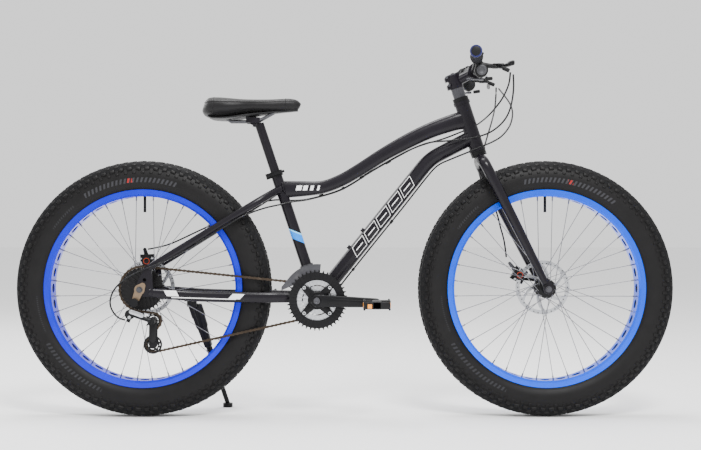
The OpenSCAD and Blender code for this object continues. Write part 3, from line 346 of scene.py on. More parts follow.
def repeat(piece: bpy.types.Object, moves: Sequence[Matrix], name: str) -> bpy.types.Object:
    """Copies one modelled shape to many places and joins the copies in one piece.

    Args:
        piece: the shape, which is used up.
        moves: where each copy goes.
        name: name of the joined piece.
    Returns:
        The joined piece.
    """
    verts = [v.co.copy() for v in piece.data.vertices]
    faces = [tuple(p.vertices) for p in piece.data.polygons]
    all_verts, all_faces = [], []
    for move in moves:
        base = len(all_verts)
        all_verts += [move @ v for v in verts]
        all_faces += [tuple(base + i for i in f) for f in faces]
    mesh = bpy.data.meshes.new(name)
    mesh.from_pydata(all_verts, [], all_faces)
    joined = bpy.data.objects.new(name, mesh)
    bpy.context.scene.collection.objects.link(joined)
    bpy.data.objects.remove(piece)
    return joined


def join(name: str, pieces: Sequence[bpy.types.Object]) -> bpy.types.Object:
    """Joins several objects in one, which takes the given name."""
    deselect()
    for piece in pieces:
        piece.select_set(True)
    bpy.context.view_layer.objects.active = pieces[0]
    bpy.ops.object.join()
    pieces[0].name = name
    return pieces[0]


def mirror_copy(piece: bpy.types.Object, name: str) -> bpy.types.Object:
    """Makes a mirrored copy on the other side of the bike, its faces turned out again."""
    pick(piece)
    bpy.ops.object.duplicate()
    twin = bpy.context.object
    twin.name = name
    twin.scale = (1, -1, 1)
    bpy.ops.object.transform_apply(location=False, rotation=False, scale=True)
    bpy.ops.object.mode_set(mode="EDIT")
    close_shell()
    return twin


def soften(piece: bpy.types.Object, angle: float = 35.0) -> None:
    """Shades a piece smooth, except across edges sharper than the angle."""
    pick(piece)
    bpy.ops.object.shade_smooth_by_angle(angle=math.radians(angle))


def settle(piece: bpy.types.Object, body: str, finish: "Finish", stands_for: Sequence[str] = (),
           angle: float = 35.0) -> bpy.types.Object:
    """Gives a finished piece its material, body and CAD nodes.

    Args:
        piece: the finished piece.
        body: the body it moves with.
        finish: its finish.
        stands_for: CAD nodes that it hides.
        angle: sharpest edge that is still shaded smooth.
    Returns:
        The same piece.
    """
    soften(piece, angle)
    piece.data.materials.clear()
    piece.data.materials.append(finish.material())
    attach(piece, body)
    if stands_for:
        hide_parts(*stands_for)
    log.info("%s rides on %s, %d faces", piece.name, body, len(piece.data.polygons))
    return piece


def settle_pair(name: str, left: bpy.types.Object, body: str, finish: "Finish",
                stands_for: Sequence[str] = (), angle: float = 35.0) -> None:
    """Joins a left piece with its mirrored twin and settles the two as one piece."""
    settle(join(name, [left, mirror_copy(left, name + "_right")]), body, finish, stands_for, angle)


def dress(finish: "Finish", *nodes: str) -> None:
    """Puts a finish on the own slots of CAD nodes."""
    for node in nodes:
        target = frame["nodes"][node]
        target.data.materials.clear()
        target.data.materials.append(finish.material())


def centre_of(node: str) -> Vector:
    """Returns the middle of a CAD node's box."""
    low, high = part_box(node)
    return (low + high) / 2


def joint_place(name: str) -> Vector:
    """Returns a joint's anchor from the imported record, in millimetres."""
    joints = frame["record"]["behaviour"]["joints"]
    return Vector(next(j["pos_m"] for j in joints if j["name"] == name)) / MM


def facing(angle: float) -> Vector:
    """Returns the unit vector at an angle in radians, in the plane of the frame."""
    return Vector((math.cos(angle), 0, math.sin(angle)))


def polar(x: float, z: float, radius: float, angle: float) -> tuple[float, float]:
    """Returns x and z of a point at a radius and an angle in radians round a centre."""
    return x + radius * math.cos(angle), z + radius * math.sin(angle)


# ---------------------------------------------------------------- shared shader groups


class Effect(Enum):
    """The shared surface effects."""

    GRAIN = "fine_grain"
    SCUFF = "scuffs"
    DUST = "settled_dust"


def new_group(effect: Effect, inputs: Sequence[tuple[str, float]],
              outputs: Sequence[str]) -> tuple[bpy.types.NodeTree, bpy.types.Node, bpy.types.Node]:
    """Makes an empty shader group with named float sockets.

    Args:
        effect: which effect it holds.
        inputs: name and default of each input.
        outputs: name of each output.
    Returns:
        The group, its input node and its output node.
    """
    tree = bpy.data.node_groups.new(effect.value, "ShaderNodeTree")
    for name, value in inputs:
        socket = tree.interface.new_socket(name=name, in_out="INPUT", socket_type="NodeSocketFloat")
        socket.default_value = value
    for name in outputs:
        tree.interface.new_socket(name=name, in_out="OUTPUT", socket_type="NodeSocketFloat")
    return tree, tree.nodes.new("NodeGroupInput"), tree.nodes.new("NodeGroupOutput")


def add_node(tree: bpy.types.NodeTree, kind: str, values: dict[str, float]) -> bpy.types.Node:
    """Adds a shader node and sets the inputs that are named."""
    node = tree.nodes.new("ShaderNode" + kind)
    for name, value in values.items():
        node.inputs[name].default_value = value
    return node


def object_noise(tree: bpy.types.NodeTree, values: dict[str, float]) -> bpy.types.Node:
    """Adds a noise that reads Object coordinates."""
    coord = tree.nodes.new("ShaderNodeTexCoord")
    noise = add_node(tree, "TexNoise", values)
    tree.links.new(coord.outputs["Object"], noise.inputs["Vector"])
    return noise


def math_node(tree: bpy.types.NodeTree, operation: str, first: "float | bpy.types.NodeSocket",
              second: "float | bpy.types.NodeSocket" = 0.0, clamp: bool = False) -> bpy.types.NodeSocket:
    """Adds a maths node whose inputs are sockets or numbers.

    Args:
        tree: the tree to add it to.
        operation: the node's operation.
        first: first input.
        second: second input.
        clamp: whether the result is held between 0 and 1.
    Returns:
        The result's socket.
    """
    node = tree.nodes.new("ShaderNodeMath")
    node.operation = operation
    node.use_clamp = clamp
    for i, value in enumerate((first, second)):
        if isinstance(value, (int, float)):
            node.inputs[i].default_value = value
        else:
            tree.links.new(value, node.inputs[i])
    return node.outputs["Value"]


def build_grain() -> bpy.types.NodeTree:
    """Noise of one size, which is fine grain at a high scale and a soft cloud at a low one."""
    tree, given, out = new_group(Effect.GRAIN, [("Scale", 900.0)], ["Value"])
    noise = object_noise(tree, {"Detail": 3.0})
    tree.links.new(given.outputs["Scale"], noise.inputs["Scale"])
    tree.links.new(noise.outputs["Fac"], out.inputs["Value"])
    return tree


def build_scuff() -> bpy.types.NodeTree:
    """Sparse rubs, where a rough noise is high."""
    tree, given, out = new_group(Effect.SCUFF, [("Scale", 30.0), ("Amount", 0.3)], ["Mask"])
    noise = object_noise(tree, {"Detail": 6.0, "Roughness": 0.7})
    level = add_node(tree, "MapRange", {"From Min": 0.58, "From Max": 0.78})
    tree.links.new(given.outputs["Scale"], noise.inputs["Scale"])
    tree.links.new(noise.outputs["Fac"], level.inputs["Value"])
    mask = math_node(tree, "MULTIPLY", level.outputs["Result"], given.outputs["Amount"])
    tree.links.new(mask, out.inputs["Mask"])
    return tree


def build_dust() -> bpy.types.NodeTree:
    """Dust on what faces up, broken by noise."""
    tree, given, out = new_group(Effect.DUST, [("Amount", 0.1)], ["Mask"])
    shape = tree.nodes.new("ShaderNodeNewGeometry")
    split = tree.nodes.new("ShaderNodeSeparateXYZ")
    noise = object_noise(tree, {"Scale": 14.0})
    tree.links.new(shape.outputs["Normal"], split.inputs["Vector"])
    lying = math_node(tree, "MULTIPLY", split.outputs["Z"], noise.outputs["Fac"], clamp=True)
    mask = math_node(tree, "MULTIPLY", lying, given.outputs["Amount"], clamp=True)
    tree.links.new(mask, out.inputs["Mask"])
    return tree


GROUP_MAKERS: dict[Effect, Callable[[], bpy.types.NodeTree]] = {
    Effect.GRAIN: build_grain,
    Effect.SCUFF: build_scuff,
    Effect.DUST: build_dust,
}


def group_tree(effect: Effect) -> bpy.types.NodeTree:
    """Returns the effect's group, built the first time it is asked for."""
    return bpy.data.node_groups.get(effect.value) or GROUP_MAKERS[effect]()


# ---------------------------------------------------------------- finishes


Colour = tuple[float, float, float]
DUST_COLOUR: Colour = (0.42, 0.40, 0.37)
COAT_ROUGHNESS = 0.12
CLOUD_SIZE = 40  # a cloud of colour is this many times wider than the grain
SCUFF_SCALE = 28.0
GRAIN_DEPTH = 0.0006
DOWN_TUBE_ANGLE = 51.3
SEAT_TUBE_LEAN = 108.4


@dataclass(frozen=True)
class Decal:
    """A flat mark on one side of a tube: a slanted box in the plane of the frame."""

    centre: tuple[float, float]
    angle: float
    half_long: float
    half_high: float
    colour: Colour
    slant: float = 0.0
    hollow: float = 0.0
    side: int = -1


@dataclass(frozen=True)
class Finish:
    """One surface finish, made into a node material on demand."""

    name: str
    base: Colour
    second: Colour
    rough: tuple[float, float] = (0.35, 0.5)
    metallic: float = 0.0
    coat: float = 0.0
    grain: float = 900.0
    bump: float = 0.1
    scuff: float = 0.06
    scuff_colour: Colour = (0.08, 0.08, 0.08)
    dust: float = 0.015
    decals: tuple[Decal, ...] = ()
    sheen: float = 0.0
    specular: float = 0.16

    def material(self) -> bpy.types.Material:
        """Builds the material, or returns the one built before."""
        return bpy.data.materials.get("look_" + self.name) or self.build()

    def build(self) -> bpy.types.Material:
        """Builds the node tree of the finish.

        Returns:
            The new material.
        """
        made = bpy.data.materials.new("look_" + self.name)
        made.use_nodes = True
        made.diffuse_color = (*self.base, 1.0)
        tree = made.node_tree
        shader = tree.nodes["Principled BSDF"]
        for name, value in (("Metallic", self.metallic), ("Coat Weight", self.coat),
                            ("Coat Roughness", COAT_ROUGHNESS), ("Sheen Weight", self.sheen),
                            ("Specular IOR Level", self.specular)):
            shader.inputs[name].default_value = value
        grain = self.add_group(tree, Effect.GRAIN, Scale=self.grain)
        cloud = self.add_group(tree, Effect.GRAIN, Scale=self.grain / CLOUD_SIZE)
        scuff = self.add_group(tree, Effect.SCUFF, Scale=SCUFF_SCALE, Amount=self.scuff)
        dust = self.add_group(tree, Effect.DUST, Amount=self.dust)
        colour = self.mix(tree, cloud.outputs["Value"], self.base, self.second)
        for decal in self.decals:
            colour = self.mix(tree, decal_mask(tree, decal), colour, decal.colour)
        colour = self.mix(tree, scuff.outputs["Mask"], colour, self.scuff_colour)
        colour = self.mix(tree, dust.outputs["Mask"], colour, DUST_COLOUR)
        tree.links.new(colour, shader.inputs["Base Color"])
        level = add_node(tree, "MapRange", {"To Min": self.rough[0], "To Max": self.rough[1]})
        tree.links.new(cloud.outputs["Value"], level.inputs["Value"])
        tree.links.new(level.outputs["Result"], shader.inputs["Roughness"])
        relief = add_node(tree, "Bump", {"Strength": self.bump, "Distance": GRAIN_DEPTH})
        tree.links.new(grain.outputs["Value"], relief.inputs["Height"])
        tree.links.new(relief.outputs["Normal"], shader.inputs["Normal"])
        return made

    @staticmethod
    def add_group(tree: bpy.types.NodeTree, effect: Effect, **values: float) -> bpy.types.Node:
        """Places a shared group with its own values."""
        node = tree.nodes.new("ShaderNodeGroup")
        node.node_tree = group_tree(effect)
        for name, value in values.items():
            node.inputs[name].default_value = value
        return node

    @staticmethod
    def mix(tree: bpy.types.NodeTree, mask: bpy.types.NodeSocket, under: "Colour | bpy.types.NodeSocket",
            over: Colour) -> bpy.types.NodeSocket:
        """Mixes a colour over another by a mask.

        Args:
            tree: the material's tree.
            mask: 0 for under, 1 for over.
            under: a colour or a colour socket.
            over: the upper colour.
        Returns:
            The mixed colour's socket.
        """
        node = tree.nodes.new("ShaderNodeMix")
        node.data_type = "RGBA"
        tree.links.new(mask, node.inputs["Factor"])
        if isinstance(under, tuple):
            node.inputs["A"].default_value = (*under, 1.0)
        else:
            tree.links.new(under, node.inputs["A"])
        node.inputs["B"].default_value = (*over, 1.0)
        return node.outputs["Result"]


def object_xyz(tree: bpy.types.NodeTree) -> tuple[bpy.types.NodeSocket, ...]:
    """Returns the x, y and z sockets of the Object coordinates."""
    coord = tree.nodes.new("ShaderNodeTexCoord")
    split = tree.nodes.new("ShaderNodeSeparateXYZ")
    tree.links.new(coord.outputs["Object"], split.inputs["Vector"])
    return split.outputs["X"], split.outputs["Y"], split.outputs["Z"]


def decal_mask(tree: bpy.types.NodeTree, decal: Decal) -> bpy.types.NodeSocket:
    """Builds the mask of one slanted box on one side of the bike.

    Args:
        tree: the material's tree.
        decal: the mark, in millimetres and degrees.
    Returns:
        The mask's socket, 1 inside the mark.
    """
    def maths(operation: str, first: "float | bpy.types.NodeSocket",
              second: "float | bpy.types.NodeSocket" = 0.0) -> bpy.types.NodeSocket:
        """Adds a maths node to this mask's tree."""
        return math_node(tree, operation, first, second)

    def box(inset: float) -> bpy.types.NodeSocket:
        """Masks the box, drawn in on every side by an inset in millimetres."""
        return maths("MULTIPLY", maths("LESS_THAN", far_along, (decal.half_long - inset) * MM),
                     maths("LESS_THAN", far_over, (decal.half_high - inset) * MM))

    x, y, z = object_xyz(tree)
    dx = maths("SUBTRACT", x, decal.centre[0] * MM)
    dz = maths("SUBTRACT", z, decal.centre[1] * MM)
    c, s = math.cos(math.radians(decal.angle)), math.sin(math.radians(decal.angle))
    along = maths("ADD", maths("MULTIPLY", dx, c), maths("MULTIPLY", dz, s))
    over = maths("SUBTRACT", maths("MULTIPLY", dz, c), maths("MULTIPLY", dx, s))
    along = maths("SUBTRACT", along, maths("MULTIPLY", over, decal.slant))
    far_along, far_over = maths("ABSOLUTE", along), maths("ABSOLUTE", over)
    inside = box(0.0)
    if decal.hollow:
        inside = maths("SUBTRACT", inside, box(decal.hollow))
    near = maths("GREATER_THAN", maths("MULTIPLY", y, float(decal.side)), 0.0005)
    return maths("MULTIPLY", inside, near)


BLACK: Colour = (0.0040, 0.0034, 0.0050)
BLACK_TWO: Colour = (0.0070, 0.0054, 0.0090)
WHITE: Colour = (0.85, 0.85, 0.85)
CYAN: Colour = (0.0, 0.22, 0.80)

DOWN_TUBE_MARKS = tuple(
    Decal((43 + 34.5 * i, 496 + 43.2 * i), DOWN_TUBE_ANGLE, long, high, WHITE, slant=0.45, hollow=hollow)
    for long, high, hollow in ((24.0, 14.5, 1.6), (15.0, 1.2, 0.0)) for i in range(5))
TOP_TUBE_MARKS = tuple(
    Decal((-134 + 19 * i, 666), 2.0, 8.0 - 1.6 * i, 7.0, WHITE, slant=0.3) for i in range(4))
SEAT_TUBE_MARKS = (Decal((-140.5, 524), SEAT_TUBE_LEAN, 13.0, 40.0, CYAN, slant=0.85),
                   Decal((-145.5, 538), SEAT_TUBE_LEAN, 2.5, 40.0, (0.20, 0.60, 0.95), slant=0.85))
CHAIN_STAY_MARKS = (Decal((-497, 362), -2.0, 17.0, 8.0, WHITE, slant=-0.55),
                    Decal((-312, 352), -2.0, 17.0, 7.5, WHITE, slant=0.9),
                    Decal((-405, 347), -2.0, 92.0, 1.2, WHITE))

PAINT = Finish("frame_paint", BLACK, BLACK_TWO, (0.22, 0.32), bump=0.04, scuff=0.04, specular=0.2)
FINISHES = {
    name: replace(PAINT, name=name, decals=decals)
    for name, decals in (("down_tube_paint", DOWN_TUBE_MARKS), ("top_tube_paint", TOP_TUBE_MARKS),
                         ("seat_tube_paint", SEAT_TUBE_MARKS), ("chain_stay_paint", CHAIN_STAY_MARKS))
}
ALLOY = Finish("black_alloy", (0.004, 0.004, 0.0045), (0.008, 0.008, 0.009), (0.24, 0.38), bump=0.06,
               scuff=0.06, scuff_colour=(0.05, 0.05, 0.052), specular=0.14)
SILVER = Finish("silver_metal", (0.42, 0.43, 0.45), (0.56, 0.57, 0.59), (0.2, 0.38), metallic=1.0, grain=500,
                bump=0.08, scuff=0.3, scuff_colour=(0.14, 0.13, 0.125))
SPOKE_STEEL = Finish("spoke_steel", (0.16, 0.16, 0.17), (0.24, 0.24, 0.25), (0.3, 0.45), metallic=0.9,
                     bump=0.03)
STEEL = Finish("dark_steel", (0.05, 0.05, 0.055), (0.10, 0.10, 0.11), (0.25, 0.45), metallic=0.9, bump=0.08,
               scuff=0.3, scuff_colour=(0.22, 0.21, 0.205))
COG_STEEL = Finish("cog_steel", (0.010, 0.010, 0.011), (0.028, 0.027, 0.027), (0.3, 0.5), metallic=0.7,
                   scuff=0.3, scuff_colour=(0.14, 0.13, 0.12))
BRONZE = Finish("bronze_metal", (0.16, 0.115, 0.075), (0.26, 0.19, 0.13), (0.25, 0.4), metallic=0.9,
                bump=0.05)
CHAIN_STEEL = Finish("chain_steel", (0.020, 0.015, 0.011), (0.07, 0.052, 0.038), (0.28, 0.5), metallic=0.8,
                     grain=1500, scuff=0.25, scuff_colour=(0.20, 0.17, 0.14))
PLASTIC = Finish("black_plastic", (0.005, 0.005, 0.0055), (0.010, 0.010, 0.011), (0.36, 0.52), grain=1600,
                 bump=0.15, scuff=0.06)
SHEATH = Finish("cable_sheath", (0.003, 0.003, 0.0035), (0.006, 0.006, 0.007), (0.2, 0.32), coat=0.15,
                bump=0.03, scuff=0.02)
GRIP = Finish("grip_rubber", (0.009, 0.009, 0.011), (0.018, 0.018, 0.021), (0.65, 0.85), grain=1300, bump=0.3)
BLUE_TRIM = Finish("blue_trim", (0.010, 0.012, 0.060), (0.016, 0.018, 0.10), (0.3, 0.45), coat=0.3)
SHIFTER_GREY = Finish("shifter_grey", (0.045, 0.045, 0.05), (0.075, 0.075, 0.08), (0.35, 0.5), metallic=0.5)
RIM_FRONT = Finish("rim_blue_front", (0.0, 0.060, 0.74), (0.0, 0.095, 0.88), (0.14, 0.22), metallic=0.45,
                   bump=0.02, scuff=0.02, scuff_colour=(0.05, 0.16, 0.6), dust=0.005)
RIM_REAR = Finish("rim_blue_rear", (0.004, 0.008, 0.50), (0.008, 0.014, 0.66), (0.16, 0.26), metallic=0.3,
                  bump=0.02, scuff=0.02, scuff_colour=(0.05, 0.08, 0.5), dust=0.005)
RED = Finish("red_accent", (0.35, 0.03, 0.01), (0.45, 0.06, 0.02), (0.3, 0.45), metallic=0.4, coat=0.3)
STRIP = Finish("strip_rubber", (0.003, 0.003, 0.0035), (0.006, 0.006, 0.007), (0.6, 0.8))
AMBER = Finish("amber_reflector", (0.85, 0.25, 0.01), (0.95, 0.36, 0.02), (0.1, 0.2), coat=0.8, grain=250,
               bump=0.5, scuff=0.02)
LEATHER = Finish("saddle_cover", (0.005, 0.005, 0.0055), (0.010, 0.0095, 0.010), (0.34, 0.5), grain=650,
                 bump=0.45, scuff=0.03, sheen=0.05)


# ---------------------------------------------------------------- wheels


ROTOR_ARMS = 6
ROTOR_HOLES = 36


@dataclass(frozen=True)
class Arc:
    """A dashed arc on a tyre's sidewall, in degrees and millimetres."""

    start: float
    end: float
    colour: Colour
    dashes: float = 0.45
    radius: float = 316
    half_width: float = 6.0

    def mask(self, tree: bpy.types.NodeTree, centre: Vector) -> bpy.types.NodeSocket:
        """Builds the arc's mask.

        Args:
            tree: the material's tree.
            centre: the wheel's centre.
        Returns:
            The mask's socket, 1 inside a dash.
        """
        x, _, z = object_xyz(tree)
        dx = math_node(tree, "SUBTRACT", x, centre.x)
        dz = math_node(tree, "SUBTRACT", z, centre.z)
        square = math_node(tree, "ADD", math_node(tree, "MULTIPLY", dx, dx),
                           math_node(tree, "MULTIPLY", dz, dz))
        far = math_node(tree, "SQRT", square)
        off = math_node(tree, "ABSOLUTE", math_node(tree, "SUBTRACT", far, self.radius * MM))
        ring = math_node(tree, "LESS_THAN", off, self.half_width * MM)
        angle = math_node(tree, "MULTIPLY", math_node(tree, "ARCTAN2", dz, dx), 180 / math.pi)
        slanted = math_node(tree, "ADD", angle, math_node(tree, "MULTIPLY", far, 60.0))
        inside = math_node(tree, "MULTIPLY", math_node(tree, "GREATER_THAN", angle, self.start),
                           math_node(tree, "LESS_THAN", angle, self.end))
        part = math_node(tree, "FRACT", math_node(tree, "MULTIPLY", slanted, self.dashes))
        dash = math_node(tree, "LESS_THAN", part, 0.5)
        return math_node(tree, "MULTIPLY", math_node(tree, "MULTIPLY", ring, inside), dash)


@dataclass(frozen=True)
class TyreFinish(Finish):
    """Rubber with dashed marks on the sidewall."""

    centre: Vector = field(default_factory=Vector)
    arcs: tuple[Arc, ...] = ()

    def build(self) -> bpy.types.Material:
        """Builds the rubber and mixes each arc over its colour.

        Returns:
            The new material.
        """
        made = super().build()
        tree = made.node_tree
        base = tree.nodes["Principled BSDF"].inputs["Base Color"]
        colour = base.links[0].from_socket
        for arc in self.arcs:
            colour = self.mix(tree, arc.mask(tree, self.centre), colour, arc.colour)
        tree.links.new(colour, base)
        return made


@dataclass
class Wheel:
    """One wheel: its knobbed tyre, and the finishes of its metal pieces."""

    end: str
    rim_finish: Finish
    centre: Vector = field(init=False)
    knob_count: int = 86
    carcass: tuple[tuple[float, float], ...] = (
        (275, 36.8), (288.5, 37.3), (296, 42.0), (308, 46.5), (323, 47.8), (337, 46.0), (350, 40.5),
        (360, 31.0), (366, 18.0), (368.3, 0.0))
    knob_rows: tuple[tuple[float, float, float, float, float], ...] = (
        (7.5, 0.0, 14.0, 11.0, 4.6), (21.0, 0.5, 15.0, 9.5, 4.8), (33.0, 0.0, 16.0, 11.0, 5.6),
        (41.5, 0.5, 16.0, 10.0, 5.6), (45.8, 0.0, 11.0, 7.0, 2.4))

    def __post_init__(self) -> None:
        """Finds the wheel's centre from the CAD tyre."""
        self.centre = centre_of(self.end + "_tyre")

    def surface(self, y: float) -> tuple[float, float, float]:
        """Finds the carcass surface beside the middle line.

        Args:
            y: distance from the wheel's middle plane, in millimetres.
        Returns:
            Radius, and the outward direction's parts along y and along the radius.
        """
        run = smooth_run(self.carcass, 6)
        outer = [p for p in run if p[0] > 323]
        for (r0, y0), (r1, y1) in zip(outer, outer[1:]):
            if y1 <= y <= y0:
                t = (y - y0) / (y1 - y0) if y1 != y0 else 0.0
                length = math.hypot(r1 - r0, y1 - y0)
                return r0 + t * (r1 - r0), (r1 - r0) / length, (y0 - y1) / length
        return outer[-1][0], 0.0, 1.0

    def knob(self, long: float, wide: float, high: float) -> bpy.types.Object:
        """Models one tread knob, standing on the origin and tapering outwards."""
        deselect()
        bpy.ops.mesh.primitive_cube_add(size=1.0, location=(0, 0, 0))
        piece = bpy.context.object
        piece.scale = mm(long, wide, high + 2.0)
        piece.location = mm(0, 0, high / 2 - 1.0)
        piece = fresh("knob")
        bpy.ops.object.mode_set(mode="EDIT")
        bpy.ops.mesh.select_all(action="DESELECT")
        shape = bmesh.from_edit_mesh(piece.data)
        top = max(shape.faces, key=lambda f: f.calc_center_median().z)
        top.select = True
        bmesh.update_edit_mesh(piece.data)
        bpy.ops.transform.resize(value=(0.8, 0.8, 1.0))
        bpy.ops.mesh.bevel(offset=0.9 * MM, segments=1)
        bpy.ops.object.mode_set(mode="OBJECT")
        return piece

    def tread(self) -> list[bpy.types.Object]:
        """Lays the knobs round the carcass in staggered rows.

        Returns:
            One joined piece for each row.
        """
        rows = []
        for y, shift, long, wide, high in self.knob_rows:
            radius, ny, nr = self.surface(y)
            moves = []
            for side in (-1, 1):
                for k in range(self.knob_count):
                    stagger = shift + (0.5 if side < 0 else 0.0)
                    a = 2 * math.pi * (k + stagger) / self.knob_count
                    radial = facing(a)
                    ahead = Vector((-math.sin(a), 0, math.cos(a)))
                    out = (radial * nr + SIDE * side * ny).normalized()
                    across = out.cross(ahead).normalized()
                    at = self.centre + radial * radius * MM + SIDE * side * y * MM
                    turn = 0.16 * side * (1 if k % 2 else -1)
                    spun = ahead * math.cos(turn) + across * math.sin(turn)
                    flat = out.cross(spun).normalized()
                    moves.append(Matrix((
                        (spun.x, flat.x, out.x, at.x), (spun.y, flat.y, out.y, at.y),
                        (spun.z, flat.z, out.z, at.z), (0, 0, 0, 1))))
            rows.append(repeat(self.knob(long, wide, high), moves, "knob_row"))
        return rows

    def tyre_finish(self) -> TyreFinish:
        """Returns the tyre's rubber, its top marks placed as they stand on this wheel."""
        start, end = (52, 103) if self.end == "front" else (72, 122)
        middle = (start + end) / 2
        arcs = (Arc(start, end, (0.030, 0.030, 0.034), half_width=7.0),
                Arc(middle - 1.5, middle + 1.5, (0.30, 0.015, 0.015), 0.5),
                Arc(-150, -112, (0.022, 0.022, 0.025)),
                Arc(-176, -156, (0.016, 0.016, 0.018), 0.9, 307, 2.0),
                Arc(130, 146, (0.018, 0.018, 0.020), 0.7, 311, 3.0))
        return TyreFinish(self.end + "_tyre_rubber", (0.0035, 0.0033, 0.0035), (0.0075, 0.0070, 0.0072),
                          (0.42, 0.6), grain=1100, bump=0.25, scuff=0.08,
                          scuff_colour=(0.02, 0.019, 0.018), dust=0.008, centre=self.centre, arcs=arcs)

    def build(self) -> None:
        """Makes the tyre and dresses the rest of the wheel."""
        half = smooth_run(self.carcass, 4)
        outer = [(r, y) for r, y in half] + [(r, -y) for r, y in reversed(half[:-1])]
        inner = [(max(r - 3.2, 275) if abs(y) < 40 else r - 1.0, y * 0.91) for r, y in outer]
        carcass = turned(self.end + "_carcass", self.centre, outer + inner[::-1], 120)
        tyre = join(self.end + "_tyre_knobbed", [carcass] + self.tread())
        settle(tyre, self.end + "_wheel", self.tyre_finish(), [self.end + "_tyre"], 50)
        for part, finish in (("rim", self.rim_finish), ("tube", STRIP), ("spokes", SPOKE_STEEL),
                             ("hub", ALLOY), ("axle", STEEL)):
            dress(finish, f"{self.end}_{part}")
        self.rotor()
        self.valve()

    def valve(self) -> None:
        """Adds the valve's brass stem and cap."""
        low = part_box(self.end + "_rim")[1].z - self.centre.z - 20 * MM
        foot = self.centre + UP * low
        brass = bar(self.end + "_valve_stem", foot - UP * 22 * MM, foot - UP * 34 * MM, 3.2, 16, 0.4)
        cap = bar(self.end + "_valve_cap", foot - UP * 34 * MM, foot - UP * 46 * MM, 4.2, 16, 1.2)
        settle(brass, self.end + "_wheel", BRONZE)
        settle(cap, self.end + "_wheel", PLASTIC)

    def rotor(self) -> None:
        """Replaces the flat rotor with one of curved arms, a marked track and bolts."""
        node = self.end + "_rotor"
        low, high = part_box(node)
        outer = (high.z - low.z) / 2 / MM
        y = (low.y + high.y) / 2 / MM
        parts = [washer(node + "_track", self.centre, outer, outer - 12, y - 1, y + 1, 96),
                 washer(node + "_hub", self.centre, 28, 18, y - 1, y + 1, 48)]
        x0, z0 = self.centre.x / MM, self.centre.z / MM
        for k in range(ROTOR_ARMS):
            rows = []
            for i in range(7):
                t = i / 6
                a = math.radians(60 * k + 34 * t)
                r = 26 + (outer - 10 - 26) * t
                rows.append([x0 + r * math.cos(a), y, z0 + r * math.sin(a), 4.4, 1.0])
            parts.append(tube("arm", rows, 8, SIDE, 6.0))
            at = self.centre + mm(22 * math.cos(a), y + 0.6, 22 * math.sin(a))
            parts.append(bar("bolt", at, at + mm(0, 2.4, 0), 3.6, 12, 0.4, 1.2))
        dimple = bar("dimple", mm(0, -1.25, 0), mm(0, 1.25, 0), 1.9, 10)
        moves = []
        for k in range(ROTOR_HOLES):
            b = 2 * math.pi * k / ROTOR_HOLES
            r = outer - 6 + 3 * math.sin(3 * b)
            moves.append(Matrix.Translation(self.centre + mm(r * math.cos(b), y, r * math.sin(b))))
        marks = repeat(dimple, moves, node + "_holes")
        settle(marks, self.end + "_wheel", STRIP)
        settle(join(node + "_waved", parts), self.end + "_wheel", SILVER, [node])


# ---------------------------------------------------------------- frame


